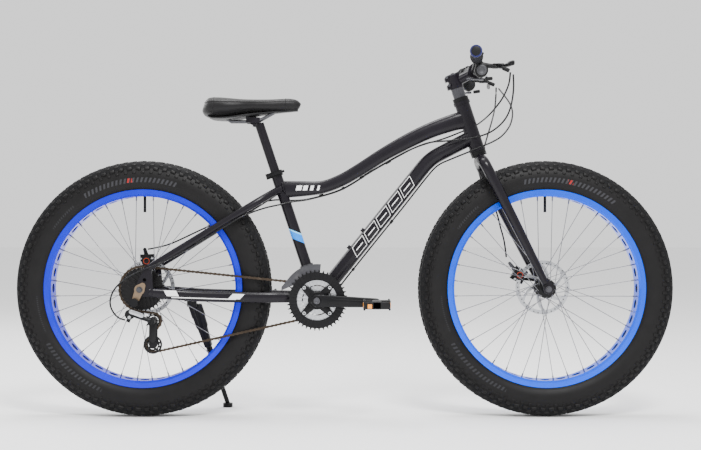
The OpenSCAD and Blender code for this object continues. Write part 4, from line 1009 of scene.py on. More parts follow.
@dataclass
class Frame:
    """The welded frame: smooth tubes in place of the faceted ones, and paint on the rest."""

    seat_angle: float = 71.6
    tyre_side: float = 48.0
    axle: Vector = field(init=False)
    crank: Vector = field(init=False)

    def __post_init__(self) -> None:
        """Finds the rear axle and the bottom bracket."""
        self.axle = centre_of("rear_tyre") / MM
        self.crank = centre_of("crank_spindle") / MM

    def on_seat(self, along: float) -> Vector:
        """Returns a point on the seat tube's axis, in millimetres."""
        a = math.radians(self.seat_angle)
        return self.crank + Vector((-math.cos(a), 0, math.sin(a))) * along

    def stay(self, name: str, rows: Sequence[Sequence[float]], low: Vector, high: Vector) -> bpy.types.Object:
        """Sweeps one stay from rows of share, y, rise, half height and half width.

        Args:
            name: name of the piece.
            rows: the stay's stations.
            low: rear end in millimetres.
            high: front end in millimetres.
        Returns:
            The left stay.
        """
        stations = []
        for share, y, rise, tall, wide in smooth_run(rows, 6):
            at = low.lerp(high, share)
            stations.append([at.x, y, at.z + rise, tall, wide])
        return tube(name, stations, 28, SIDE, 2.3)

    def both(self, piece: bpy.types.Object, node: str, finish: Finish) -> None:
        """Mirrors a stay and settles the pair in place of its CAD node."""
        settle_pair(node + "_smooth", piece, "frame", finish, [node], 50)

    def build(self) -> None:
        """Makes the hydroformed tubes and paints the frame."""
        side = self.tyre_side
        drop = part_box("dropouts")[1].y / MM - 6
        self.both(self.stay("chain_stay", [
            [0.05, drop + 2, -6, 12, 6], [0.11, drop - 5, -8, 14, 7], [0.21, drop - 17, -9, 15, 8],
            [0.37, side + 22, -9, 15.5, 8.5], [0.69, side + 16, -2, 15.5, 8.5], [0.82, side + 3, 2, 15.5, 9],
            [0.95, side - 11, 5, 15.5, 9], [0.985, side - 13.5, 6, 15, 9]], self.axle, self.crank),
            "chain_stays", FINISHES["chain_stay_paint"])
        foot = self.axle + Vector((25, 0, 62))
        stay = self.stay("seat_stay", [
            [0.0, drop + 2, 0, 9, 6], [0.1, drop - 2, 0, 10, 8], [0.4, side + 29, 0, 10.5, 9],
            [0.74, side + 18, 0, 10.5, 9.5], [0.87, side + 3, 0, 10.5, 10], [0.97, 20, 0, 10.5, 10],
            [1.0, 12, 0, 10.5, 10]], foot, self.on_seat(341))
        self.both(stay, "seat_stays", PAINT)
        middle = foot.lerp(self.on_seat(341), 0.835)
        bridge = bar("stay_bridge", mm(middle.x, -52, middle.z), mm(middle.x, 52, middle.z), 7.5, 24)
        settle(bridge, "frame", PAINT)
        self.top_tube()
        for node in ("down_tube", "seat_tube"):
            dress(FINISHES[node + "_paint"], node)
        dress(PAINT, "head_tube", "dropouts")
        dress(ALLOY, "bottom_bracket", "headset_cups", "seat_clamp", "kickstand_bracket", "kickstand_leg",
              "seat_clamp_lever", "rear_calliper", "rear_calliper_arm", "rear_derailleur", "cable_guides")
        dress(BRONZE, "derailleur_hanger")
        dress(STEEL, "front_derailleur")
        self.weld_beads()

    def top_tube(self) -> None:
        """Makes the S-shaped top tube, squarer than round with a soft line along its side."""
        start = self.on_seat(336)
        rear, front = Vector(start), Fork().on_steer(541.5)
        rows = [[0.012, 0, 25, 13.6], [0.1, -17, 23, 16], [0.22, -37, 19, 17], [0.32, -38, 18.5, 18],
                [0.42, -28, 19, 18], [0.55, -10, 20, 18], [0.68, 2, 22, 18], [0.8, 8, 23, 18],
                [0.92, 6, 25, 18], [0.985, 1, 27, 17]]
        stations = []
        for share, rise, tall, wide in smooth_run(rows, 7):
            at = rear.lerp(front, share)
            stations.append([at.x, 0, at.z + rise, tall, wide])
        piece = tube("top_tube_smooth", stations, 40, SIDE, 2.7)
        settle(piece, "frame", FINISHES["top_tube_paint"], ["top_tube"], 60)

    def weld_beads(self) -> None:
        """Runs rippled weld beads round the top tube at the seat tube, and round the down tube and seat tube
        at the bottom bracket.
        """
        beads = []
        for centre, axis, radius, half in (
                (self.on_seat(336) + Vector((7, 0, 5)), Vector((0.93, 0, 0.30)), 20.5, 1.8),
                (self.crank + Vector((16, 0, 19.5)), Vector((0.625, 0, 0.78)), 22.3, 1.8),
                (self.on_seat(25), Vector((-0.316, 0, 0.949)), 16.5, 1.6)):
            axis = axis.normalized()
            s = axis.cross(SIDE).normalized()
            loops = []
            for k in range(49):
                a = 2 * math.pi * k / 48
                at = centre + (s * math.cos(a) + SIDE * math.sin(a)) * radius
                loops.append([at.x, at.y, at.z, half + 0.35 * (k % 2), half + 0.35 * (k % 2)])
            beads.append(tube("bead", loops, 8, axis))
        settle(join("weld_beads", beads), "frame", PAINT)


# ---------------------------------------------------------------- fork and cockpit


@dataclass
class Fork:
    """The rigid fork: two tapered legs that meet under the crown."""

    head_angle: float = 71.7
    rake: float = 60.8
    crown: float = 431.0
    leg_y: float = 72.0
    hub_width: float = 135.0
    spacer_steps: tuple[float, float] = (92, 105)
    axle: Vector = field(init=False)

    def __post_init__(self) -> None:
        """Finds the front axle."""
        self.axle = centre_of("front_tyre") / MM

    def on_steer(self, along: float) -> Vector:
        """Returns a point on the steering axis, in millimetres."""
        a = math.radians(self.head_angle)
        foot = self.axle - self.rake * Vector((math.sin(a), 0, math.cos(a)))
        return foot + along * Vector((-math.cos(a), 0, math.sin(a)))

    def build(self) -> None:
        """Makes the legs with their dropouts and dresses the fork's metal."""
        y = self.leg_y
        top = self.on_steer(self.crown - 15) + Vector((-1, 0, 0))
        foot = self.axle + Vector((-8, y, 16))
        rows = [[0, 0, 16, 16], [0, 26, 16, 16], [0.015, 50, 16, 16], [0.05, y - 3, 15.5, 15.5],
                [0.16, y, 15.5, 15.5], [0.5, y, 14.5, 14.5], [0.8, y, 13.5, 12.5], [1, y, 12.5, 10]]
        stations = []
        for share, side, across, high in smooth_run(rows, 6):
            at = top.lerp(foot, share)
            stations.append([at.x, side, at.z, across, high])
        leg = tube("fork_leg", stations, 28, Vector((1, 0, 0.25)), 2.15)
        bevel(leg, 3, 3, 60)
        around = [polar(self.axle.x, self.axle.z, 15, math.radians(d)) for d in range(-195, 31, 15)]
        top_arc = [polar(self.axle.x - 9, self.axle.z + 20, 14, math.radians(d)) for d in range(30, 171, 20)]
        ending = plate("fork_end", around + top_arc, (self.hub_width + 7) / 2, 7, 1.2)
        settle_pair("fork_legs_smooth", join("fork_side", [leg, ending]), "fork", PAINT, ["fork_legs"], 50)
        dress(ALLOY, "fork_steerer", "front_calliper")
        dress(PAINT, "stem")
        dress(STEEL, "stem_hardware", "front_calliper_arm")
        a = math.radians(self.head_angle)
        place, up = joint_place("steering"), Vector((-math.cos(a), 0, math.sin(a)))
        rings = [bar("spacer", (place + low * up) * MM, (place + (low + 8) * up) * MM, 17.3, 40, 0.8)
                 for low in self.spacer_steps]
        settle(join("bright_spacers", rings), "fork", SILVER)


@dataclass
class Cockpit:
    """Handlebar, grips, brake levers and shifters."""

    bar_radius: float = 15.9
    half_length: float = 340.0
    grip_length: float = 122.0
    grip_ribs: int = 22
    middle: Vector = field(init=False)

    def __post_init__(self) -> None:
        """Finds the middle of the bar from its CAD box."""
        low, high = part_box("handlebar")
        self.middle = Vector((high.x / MM - self.bar_radius, 0, low.z / MM + self.bar_radius))

    def on_bar(self, y: float) -> Vector:
        """Returns a point on the axis of the bar's swept end, in millimetres."""
        share = (y - 110) / 230
        return self.middle + Vector((-5 - 24 * share, y, 16 + share))

    def place(self, x: float, y: float, z: float) -> Vector:
        """Returns a point measured from the bar's middle, in millimetres."""
        return self.middle + Vector((x, y, z))

    @staticmethod
    def rod(name: str, start: Vector, end: Vector, *shape: float) -> bpy.types.Object:
        """Adds a bar between two points that are given in millimetres."""
        return bar(name, start * MM, end * MM, *shape)

    def build(self) -> None:
        """Makes the bar and all that is clamped to it."""
        right = [[-29, -340, 17, 11.1], [-17.5, -230, 16.5, 11.1], [-6, -120, 16, 11.4],
                 [-2.5, -84, 10.5, 12.6], [-0.4, -56, 1.6, 15], [0, -36, 0, 15.9]]
        rows = right + [[x, -y, z, r] for x, y, z, r in reversed(right)]
        stations = [[*self.place(x, y, z), r, r] for x, y, z, r in smooth_run(rows, 6)]
        settle(tube("handlebar_smooth", stations, 28, UP), "fork", ALLOY, ["handlebar"], 60)
        self.grips()
        self.pods()
        self.levers()

    def grips(self) -> None:
        """Makes ribbed grips with an inner flange, a coloured end ring and a plug."""
        start = self.half_length - self.grip_length
        rows = [(0, 16.0), (0.6, 18.2), (4.2, 18.5), (5.0, 15.4)]
        for k in range(self.grip_ribs):
            at = 9 + k * (self.grip_length - 20) / self.grip_ribs
            rows += [(at, 15.0), (at + 1.2, 16.1), (at + 3.0, 16.1), (at + 4.2, 15.0)]
        rows += [(self.grip_length - 9, 15.2), (self.grip_length - 6, 15.6)]
        sleeve = tube("grip", [[*self.on_bar(start + t), r, r] for t, r in rows], 32, UP)
        settle_pair("grips_ribbed", sleeve, "fork", GRIP, ["grips"], 30)
        end = self.half_length
        ring = tube("ring", [[*self.on_bar(end + t), r, r] for t, r in (
            (-6.5, 15.0), (-6, 16.6), (-5, 17.0), (0.6, 17.0), (1.8, 16.2))], 40, UP)
        plug = self.rod("plug", self.on_bar(end), self.on_bar(end + 3.4), 12.8, 32, 0.8)
        settle_pair("grip_end_rings", ring, "fork", BLUE_TRIM)
        settle_pair("grip_plugs", plug, "fork", PLASTIC)

    def pods(self) -> None:
        """Makes the brake perches and shifters, with their clamps, adjusters and spouts."""
        ring = tube("clamp", [[*self.on_bar(y), r, r] for y, r in (
            (180, 14), (180.6, 16.4), (182, 17), (194, 17), (195.4, 16.4), (196, 14))], 32, UP)
        arm_rows = [[-14, 189, 2, 11, 8], [4, 189, -3, 11.5, 7.5], [24, 191, -6, 11, 6.5],
                    [40, 193, -7, 9, 6.5]]
        arm = tube("perch", [[*self.place(x, y, z), wide, tall]
                             for x, y, z, wide, tall in smooth_run(arm_rows, 4)], 20, UP, 3.2)
        prongs = [block("prong", self.place(30, 186, z), self.place(62, 204, z + 3.2), 1.2)
                  for z in (-13.6, -3.0)]
        face = self.on_bar(196) + Vector((12, 0, -36))
        body = self.rod("shifter", face - 15 * SIDE, face + 15 * SIDE, 19, 40, 2.5)
        neck_top = self.on_bar(188) + Vector((6, 4, -8))
        neck = tube("neck", [[*neck_top, 9, 10], [*face, 10, 11]], 16, SIDE, 3.0)
        barrel = self.rod("barrel", self.place(58, 196, -12), self.place(77, 196, -20), 5.5, 20, 0.8)
        knurls = [self.rod("knurl", self.place(62 + 3.2 * k, 196, -13.7 - 1.4 * k),
                           self.place(64 + 3.2 * k, 196, -14.5 - 1.4 * k), 6.1, 20, 0.4) for k in range(4)]
        spout = self.rod("spout", self.place(12, 190, -42), self.place(30, 182, -40), 5, 20, 0.8)
        left = join("pod", [ring, arm, *prongs, body, neck, barrel, *knurls, spout])
        settle_pair("control_pods_detailed", left, "fork", PLASTIC, ["control_pods"])
        self.pod_trim(face)

    def pod_trim(self, face: Vector) -> None:
        """Adds the shifters' covers, the bright bolts and pins, and the gear windows.

        Args:
            face: middle of the left shifter, in millimetres.
        """
        cover = self.rod("cover", face + 14.6 * SIDE, face + 17.4 * SIDE, 14.5, 40, 1.0, 0.8)
        clamp = self.on_bar(188)
        bolt = self.rod("clamp_bolt", clamp + Vector((8, 0, 15)), clamp + Vector((3, 0, 22)), 3, 16, 0.5, 1.5)
        pivot = joint_place("brake_lever_left_pull")
        pin = self.rod("pivot_pin", pivot - 7 * UP, pivot + 9 * UP, 2.8, 16, 0.5, 1.2)
        trim = join("pod_trim", [bolt, pin])
        settle_pair("shifter_covers", cover, "fork", SHIFTER_GREY)
        settle_pair("pod_bolts", trim, "fork", SILVER)
        seat = self.on_bar(176)
        window = block("gear_window", seat + Vector((-2, -22, 12)), seat + Vector((20, 2, 18)), 2.5)
        settle_pair("gear_windows", window, "fork", STRIP)

    def lever(self, name: str, pivot: Vector, rows: Sequence[Sequence[float]], steps: int, power: float,
              hub: tuple[float, float], finish: Finish) -> None:
        """Makes a left lever and its mirrored twin.

        Args:
            name: piece and CAD node, with SIDE where left or right goes.
            pivot: the left lever's pivot, in millimetres.
            rows: x, y, z, half width and half height of each station, from the pivot.
            steps: pieces between two rows.
            power: squareness of the section.
            hub: radius and half thickness of the disc round the pivot.
            finish: the levers' finish.
        """
        blade = tube("blade", [[*(pivot + Vector((x, y, z))), wide, tall]
                               for x, y, z, wide, tall in smooth_run(rows, steps)], 20, UP, power)
        disc = self.rod("lever_hub", pivot - hub[1] * UP, pivot + hub[1] * UP, hub[0], 28, 0.8)
        left = join(name.replace("SIDE", "left"), [blade, disc])
        right = mirror_copy(left, name.replace("SIDE", "right"))
        for side, piece in (("left", left), ("right", right)):
            node = name.rsplit("_", 1)[0].replace("SIDE", side)
            settle(piece, node, finish, [node])

    def levers(self) -> None:
        """Makes the brake blades, with a lip at the tip, and the thumb paddles."""
        self.lever("brake_lever_SIDE_blade", joint_place("brake_lever_left_pull"), [
            [0, 2, 0, 4, 3.9], [12, 20, -1, 4, 4.0], [19, 54, -3, 4, 6.2], [19, 94, -5, 3.8, 7],
            [22, 120, -6, 4, 7], [25.5, 131, -6, 4, 6.6], [27, 134, -6, 2, 4]], 5, 2.8, (7, 4), ALLOY)
        self.lever("thumb_lever_SIDE_paddle", joint_place("thumb_lever_left_push"), [
            [6, -3, 0, 3, 2], [0, 0, 0, 7, 3], [-14, 7, -0.5, 6, 2.6], [-26, 14, -1, 8, 3],
            [-35, 18.5, -1, 8.5, 3], [-41, 22, -1, 4, 2]], 4, 2.4, (8, 3), STEEL)


# ---------------------------------------------------------------- saddle


@dataclass
class Saddle:
    """The padded saddle on its shell and rails, and the post."""

    rows: tuple[tuple[float, float, float, float], ...] = (
        (0.0, 20, 30, 50), (0.012, 40, 18, 60), (0.05, 60, 9, 66), (0.13, 74, 6, 68), (0.25, 79, 9, 66),
        (0.4, 69, 17, 62.5), (0.55, 46, 23.5, 62), (0.7, 31, 26, 63), (0.85, 25, 27, 65),
        (0.94, 21.5, 28, 62.5), (0.985, 15, 31, 55), (1.0, 8, 35, 48))
    length: float = 281.0
    fill: float = 0.8

    def build(self) -> None:
        """Makes the cover, the seams and the shell below, and dresses the rails and the post."""
        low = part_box("saddle")[0]
        rear = low.x / MM
        foot = low.z / MM - 6
        cover = self.cover(rear, foot)
        settle(cover, "seat", LEATHER, ["saddle"], 60)
        shell_rows = [[rear + 10 + s * (self.length - 16), 0, foot + z - 1, w * 0.93, t]
                      for s, w, z, t in smooth_run([(0, 30, 19, 3), (0.06, 55, 8, 4), (0.25, 70, 7, 5),
                                                    (0.45, 58, 15, 5), (0.7, 27, 24, 4), (1, 12, 31, 3)], 4)]
        settle(tube("saddle_shell", shell_rows, 28, UP, 3), "seat", PLASTIC)
        dress(STEEL, "saddle_rails")
        dress(PAINT, "seatpost")

    def cover(self, rear: float, foot: float) -> bpy.types.Object:
        """Sculpts the padded cover from its stations, with a shallow channel and stitched seams.

        Args:
            rear: x of the rear end, in millimetres.
            foot: height that the rows are measured from.
        Returns:
            The cover with its seams.
        """
        run = smooth_run(self.rows, 5)
        stations = [[rear + s * self.length, 0, foot + (low + top) / 2, wide, (top - low) / 2]
                    for s, wide, low, top in run]
        body = tube("saddle_cover_body", stations, 48, UP, 2.35)
        for vert in body.data.vertices:
            share = (vert.co.x / MM - rear) / self.length
            height = vert.co.z / MM - foot
            if height > 50 and 0.08 < share < 0.86:
                near = math.exp(-(vert.co.y / MM / 9) ** 2)
                fade = math.sin(math.pi * (share - 0.08) / 0.78) ** 0.5
                vert.co.z -= 3.4 * near * fade * MM
        subdivide(body, 1)
        seams = []
        forward = Vector((1, 0, 0))
        for cut in (0.845, 0.115):
            s, wide, low, top = min(run, key=lambda row: abs(row[0] - cut))
            ring = ring_points(mm(rear + s * self.length, 0, foot + (low + top) / 2), forward, UP,
                               (wide - 0.2) * MM, ((top - low) / 2 - 0.2) * MM, 48, 2.35)
            rows = [[*(p / MM), 1.0, 1.0] for p in ring + ring[:1]]
            seams.append(tube("seam", rows, 8, forward))
        edge = []
        for s, wide, low, top in run[6:-8]:
            level = foot + (low + top) / 2 + (top - low) * 0.235
            edge.append([rear + s * self.length, wide * 0.93, level, 0.9, 0.9])
        piping = tube("piping", edge, 8, UP)
        seams += [piping, mirror_copy(piping, "piping_right")]
        return join("saddle_cover", [body] + seams)


# ---------------------------------------------------------------- drivetrain


PITCH = 12.7


def toothed_ring(name: str, centre: Vector, teeth: int, phase: float, inner: float, y: float,
                 thick: float) -> bpy.types.Object:
    """Makes a toothed ring whose teeth are thinned at their tips.

    Args:
        name: name of the piece.
        centre: middle of the ring, in millimetres.
        teeth: number of teeth.
        phase: angle of the first tooth, in degrees.
        inner: radius of the hole.
        y: middle of the ring's thickness.
        thick: thickness in millimetres.
    Returns:
        The ring.
    """
    radius = PITCH / 2 / math.sin(math.pi / teeth)
    shape = ((radius - 4.2, -3.0), (radius - 1.5, -2.0), (radius + 2.8, -0.8), (radius + 2.8, 0.8),
             (radius - 1.5, 2.0), (radius - 4.2, 3.0))
    edge, hole, thin = [], [], []
    for k in range(teeth):
        a = math.radians(phase + 360 * k / teeth)
        for r, t in shape:
            edge.append((r * math.cos(a) - t * math.sin(a), r * math.sin(a) + t * math.cos(a)))
            thin.append(0.45 if r > radius else 1.0)
    for x, z in edge:
        far = math.hypot(x, z)
        hole.append((x * inner / far, z * inner / far))
    loops = [[mm(centre.x + x, y - thick / 2 * t, centre.z + z) for (x, z), t in zip(edge, thin)],
             [mm(centre.x + x, y + thick / 2 * t, centre.z + z) for (x, z), t in zip(edge, thin)],
             [mm(centre.x + x, y + thick / 2, centre.z + z) for x, z in hole],
             [mm(centre.x + x, y - thick / 2, centre.z + z) for x, z in hole]]
    return ring_band(name, loops)


def rounded(first: Sequence[float], first_radius: float, last: Sequence[float], last_radius: float,
            steps: int = 10) -> list[tuple[float, float]]:
    """Returns the outline round two circles, in the plane of the frame.

    Args:
        first: x and z of the first circle.
        first_radius: its radius.
        last: x and z of the last circle.
        last_radius: its radius.
        steps: points round each half circle.
    Returns:
        The outline's points.
    """
    heading = math.atan2(last[1] - first[1], last[0] - first[0])
    ends = ((first, first_radius, heading + math.pi / 2), (last, last_radius, heading - math.pi / 2))
    return [polar(*centre, radius, start + math.pi * k / steps)
            for centre, radius, start in ends for k in range(steps + 1)]


@dataclass
class Gear:
    """One toothed wheel of the chain's loop."""

    at: Vector
    teeth: int
    turn: int

    @property
    def radius(self) -> float:
        """Pitch radius, negative where the chain runs the other way round."""
        return self.turn * (PITCH / 2) / math.sin(math.pi / self.teeth)


@dataclass
class ChainLoop:
    """The closed loop of chain round the sprocket, the small ring and the two pulleys."""

    gears: list[Gear]

    def heading(self, i: int) -> float:
        """Angle of the straight run from gear i to the next, in radians."""
        a, b = self.gears[i % 4], self.gears[(i + 1) % 4]
        way = b.at - a.at
        return math.atan2(way.z, way.x) - math.asin((a.radius - b.radius) / way.length)

    def turned_by(self, i: int) -> float:
        """Angle that the chain stays on gear i, in radians."""
        return self.gears[i].turn * (self.heading(i + 3) - self.heading(i)) % (2 * math.pi)

    def run_length(self, i: int) -> float:
        """Length of the straight run after gear i, in millimetres."""
        a, b = self.gears[i], self.gears[(i + 1) % 4]
        return math.sqrt((b.at - a.at).length ** 2 - (a.radius - b.radius) ** 2)

    def on_gear(self, i: int, angle: float) -> Vector:
        """Point where the chain has turned by an angle on gear i."""
        g = self.gears[i]
        a = self.heading(i + 3) + math.pi / 2 - g.turn * angle
        return g.at + g.radius * facing(a)

    def rollers(self) -> list[Vector]:
        """Returns the middle of every roller, link by link, in millimetres."""
        places, left = [], 0.0
        for i, g in enumerate(self.gears):
            step = 2 * math.pi / g.teeth
            on = self.turned_by(i) / step
            while left <= on + 1e-9:
                places.append(self.on_gear(i, left * step))
                left += 1
            left -= on
            off = self.run_length(i) / PITCH
            a = self.heading(i)
            start = self.on_gear(i, self.turned_by(i))
            while left <= off + 1e-9:
                places.append(start + left * PITCH * facing(a))
                left += 1
            left -= off
        if (places[-1] - places[0]).length < PITCH / 2:
            places.pop()
        return places


@dataclass
class Drivetrain:
    """Crankset, chain, sprockets, derailleurs and pedals."""

    chain_y: float = -55.0
    ring_step: float = 7.5
    arm_y: float = 95.0
    arm_thick: float = 14.0
    arm_length: float = 170.0
    arm_dip: float = 2.0
    pedal_y: float = 180.0
    bolt_circle: float = 52.0
    crank: Vector = field(init=False)
    loop: ChainLoop = field(init=False)

    def __post_init__(self) -> None:
        """Reads the gears' centres from the joints."""
        self.crank = joint_place("crank_spin")
        sprocket = joint_place("cassette_spin")
        places = [sprocket, self.crank, joint_place("tension_pulley_spin"), joint_place("guide_pulley_spin")]
        flat = [Vector((p.x, 0, p.z)) for p in places]
        self.loop = ChainLoop([Gear(at, teeth, turn) for at, (teeth, turn) in zip(
            flat, ((32, 1), (22, 1), (11, 1), (11, -1)))])

    def phase(self, i: int, places: Sequence[Vector]) -> float:
        """Angle of a tooth of gear i, half a tooth from a roller that lies on it.

        Args:
            i: number of the gear in the loop.
            places: the rollers.
        Returns:
            The angle in degrees.
        """
        g = self.loop.gears[i]
        on = min(places, key=lambda p: abs((p - g.at).length - abs(g.radius))
                 + (0 if (p - g.at).length < 90 else 9))
        way = on - g.at
        return math.degrees(math.atan2(way.z, way.x)) + 180 / g.teeth

    def build(self) -> None:
        """Makes the whole drivetrain."""
        places = self.loop.rollers()
        log.info("chain of %d links", len(places))
        self.chain(places)
        self.rings(places)
        self.cranks()
        for i, node in ((2, "tension_pulley"), (3, "guide_pulley")):
            self.pulley(node, i, places)
        self.pedals()
        dress(COG_STEEL, "cassette")
        dress(STEEL, "crank_spindle")
        self.derailleur_trim()

    def chain(self, places: Sequence[Vector]) -> None:
        """Makes inner links, outer links, rollers and pins from two modelled plates."""
        outline = []
        for k in range(20):
            a = 2 * math.pi * k / 20
            x = PITCH / 2 * (1 if math.cos(a) > 0 else -1)
            if abs(math.cos(a)) < 0.2:
                outline.append((x * 0.25, 4.1 * 0.62 * math.sin(a)))
            else:
                outline.append((x + 4.1 * math.cos(a), 4.1 * math.sin(a)))
        flat = plate("link_plate", outline, 0.0, 1.0)
        moves = []
        for k, at in enumerate(places):
            far = places[(k + 1) % len(places)]
            way = (far - at).normalized()
            middle = (at + far) / 2
            spread = 2.6 if k % 2 else 3.8
            for side in (-1, 1):
                spot = mm(middle.x, self.chain_y + side * spread, middle.z)
                moves.append(Matrix(((way.x, 0, -way.z, spot.x), (0, 1, 0, spot.y),
                                     (way.z, 0, way.x, spot.z), (0, 0, 0, 1))))
        plates = repeat(flat, moves, "chain_plates")
        spots = [Matrix.Translation(mm(p.x, self.chain_y, p.z)) for p in places]
        rollers = repeat(bar("roller", mm(0, -2.1, 0), mm(0, 2.1, 0), 3.8, 12), spots, "chain_rollers")
        pins = repeat(bar("pin", mm(0, -4.7, 0), mm(0, 4.7, 0), 1.8, 8), spots, "chain_pins")
        settle(join("chain_links", [plates, rollers, pins]), "frame", CHAIN_STEEL, ["chain"])

    def rings(self, places: Sequence[Vector]) -> None:
        """Makes the black large ring and spider, the two bright inner rings and their bolts."""
        outer_y = self.chain_y - 2 * self.ring_step
        crank = (self.crank.x, self.crank.z)
        large = toothed_ring("large_ring", self.crank, 42, 0.0, self.bolt_circle + 6, outer_y, 2.4)
        parts = [large, turned("spider_hub", self.crank * MM, [
            (24, outer_y - 13), (26, outer_y - 11), (26, outer_y + 0.5), (12, outer_y + 0.5),
            (12, outer_y - 13)], 48)]
        bolts = []
        for a in (math.radians(45 + 90 * k) for k in range(4)):
            tip = polar(*crank, self.bolt_circle, a)
            parts.append(plate("spider_arm", rounded(crank, 15, tip, 8.5), outer_y - 3.5, 5, 1.2))
        settle(join("large_ring_and_spider", parts), "crank", ALLOY, ["chainrings"])
        middle = toothed_ring("middle_ring", self.crank, 32, 0.0, 44, self.chain_y - self.ring_step, 2.0)
        small = toothed_ring("small_ring", self.crank, 22, self.phase(1, places), 27, self.chain_y, 2.0)
        for a in (math.radians(45 + 90 * k) for k in range(4)):
            for radius, y0, y1, size in ((self.bolt_circle, outer_y - 8, outer_y + 9, 5),
                                         (33, outer_y - 1, self.chain_y + 2, 4)):
                at = self.crank + Vector((radius * math.cos(a), 0, radius * math.sin(a)))
                bolts.append(bar("ring_bolt", mm(at.x, y1, at.z), mm(at.x, y0, at.z), size, 20, 0.6, 2))
        settle(join("inner_rings", [middle, small] + bolts), "crank", SILVER)

    def cranks(self) -> None:
        """Makes the two forged arms with a rib along their edges, and the bolts in their ends."""
        a = math.radians(self.arm_dip)
        parts, caps = [], []
        for side in (1, -1):
            eye = self.crank + side * self.arm_length * Vector((math.cos(a), 0, -math.sin(a)))
            y = -side * self.arm_y
            outline = rounded((self.crank.x, self.crank.z), 18, (eye.x, eye.z), 13, 14)
            parts.append(plate("arm", outline, y, self.arm_thick, 3.2))
            near, far = self.crank.lerp(eye, 0.24), self.crank.lerp(eye, 0.82)
            rib = rounded((near.x, near.z), 8, (far.x, far.z), 5.5)
            parts.append(plate("arm_rib", rib, y - side * 7, 2.2, 0.9))
            face = y - side * self.arm_thick / 2
            for name, at, rise, *shape in (("arm_bolt", self.crank, 2.2, 9.5, 32, 0.7, 1.6),
                                           ("pedal_eye", eye, 0.8, 9.2, 32, 0.4, 0.6)):
                caps.append(bar(name, mm(at.x, face + side * 2, at.z),
                                mm(at.x, face - side * rise, at.z), *shape))
        settle(join("crank_arms_forged", parts), "crank", ALLOY, ["crank_arms"])
        settle(join("crank_bolts", caps), "crank", STEEL)

    def pulley(self, node: str, i: int, places: Sequence[Vector]) -> None:
        """Makes a pulley with five windows.

        Args:
            node: CAD node and body of the pulley.
            i: number of its gear in the loop.
            places: the rollers.
        """
        g = self.loop.gears[i]
        y = self.chain_y
        rim = toothed_ring(node + "_rim", g.at, g.teeth, self.phase(i, places), 14.5, y, 2.6)
        parts = [rim, washer(node + "_hub", mm(g.at.x, 0, g.at.z), 7.5, 3.2, y - 1.8, y + 1.8, 32)]
        parts += self.webs("web", g.at, 6.5, 15.5, 1.7, 0.0, y, 2.2)
        settle(join(node + "_windowed", parts), node, PLASTIC, [node])

    @staticmethod
    def webs(name: str, at: Vector, inner: float, outer: float, half: float, start: float, y: float,
             thick: float) -> list[bpy.types.Object]:
        """Makes the five webs of a pulley or guard.

        Args:
            name: name of each web.
            at: middle of the wheel, in millimetres.
            inner: radius where a web starts.
            outer: radius where it ends.
            half: half of its width.
            start: angle of the first web, in radians.
            y: middle of its thickness.
            thick: its thickness.
        Returns:
            The webs.
        """
        made = []
        for a in (2 * math.pi * k / 5 + start for k in range(5)):
            foot, tip = polar(at.x, at.z, inner, a), polar(at.x, at.z, outer, a)
            made.append(plate(name, rounded(foot, half, tip, half, 4), y, thick))
        return made

    def pedals(self) -> None:
        """Makes the two pedals."""
        self.pedal("pedal_right", -1)
        self.pedal("pedal_left", 1)

    def pedal(self, name: str, side: int) -> None:
        """Makes one caged pedal with studded rails, a core and amber reflectors.

        Args:
            name: CAD node and body of the pedal.
            side: 1 on the left, -1 on the right.
        """
        at = joint_place(name + "_spin")
        inner, outer = self.pedal_y - 48, self.pedal_y + 48

        def slab(part: str, low: Point, high: Point, round_edge: float) -> bpy.types.Object:
            """Adds a block measured from the axle, on the pedal's own side of the bike."""
            ys = (side * low[1], side * high[1])
            return block(part, (at.x + low[0], min(ys), at.z + low[2]),
                         (at.x + high[0], max(ys), at.z + high[2]), round_edge)

        axle = bar("pedal_axle", mm(at.x, side * (self.arm_y - 7), at.z), mm(at.x, side * (inner + 4), at.z),
                   6.9, 24, 0.8)
        parts = [axle, slab("pedal_core", (-13, inner, -11), (13, outer, 11), 3)]
        for x0, x1 in ((-38, -32), (32, 38)):
            for z0, z1 in ((-13, -8.4), (8.4, 13)):
                parts.append(slab("pedal_rail", (x0, inner + 2, z0), (x1, outer - 2, z1), 1.4))
            parts.append(slab("pedal_web", (x0 + 1.6, inner + 4, -9), (x1 - 1.6, outer - 4, 9), 0.8))
        for y0, y1 in ((inner, inner + 7), (outer - 7, outer)):
            parts.append(slab("pedal_cheek", (-37, y0, -10.5), (37, y1, 10.5), 2.2))
        for x, k, z in product((-35, 35), range(6), (-13.2, 13.2)):
            y = side * (inner + 12 + k * 14.4)
            parts.append(bar("stud", mm(at.x + x, y, at.z + z - 1.4), mm(at.x + x, y, at.z + z + 1.4),
                             1.9, 10, 0.4))
        settle(join(name + "_cage", parts), name, PLASTIC, [name])
        glass = [slab("reflector", (x0, inner + 20, -7.6), (x1, outer - 20, 7.6), 0.9)
                 for x0, x1 in ((-38.6, -34), (34, 38.6))]
        glass.append(slab("end_reflector", (-26, outer - 1, -8.5), (-14, outer + 1.4, 3.5), 0.8))
        settle(join(name + "_reflectors", glass), name, AMBER)

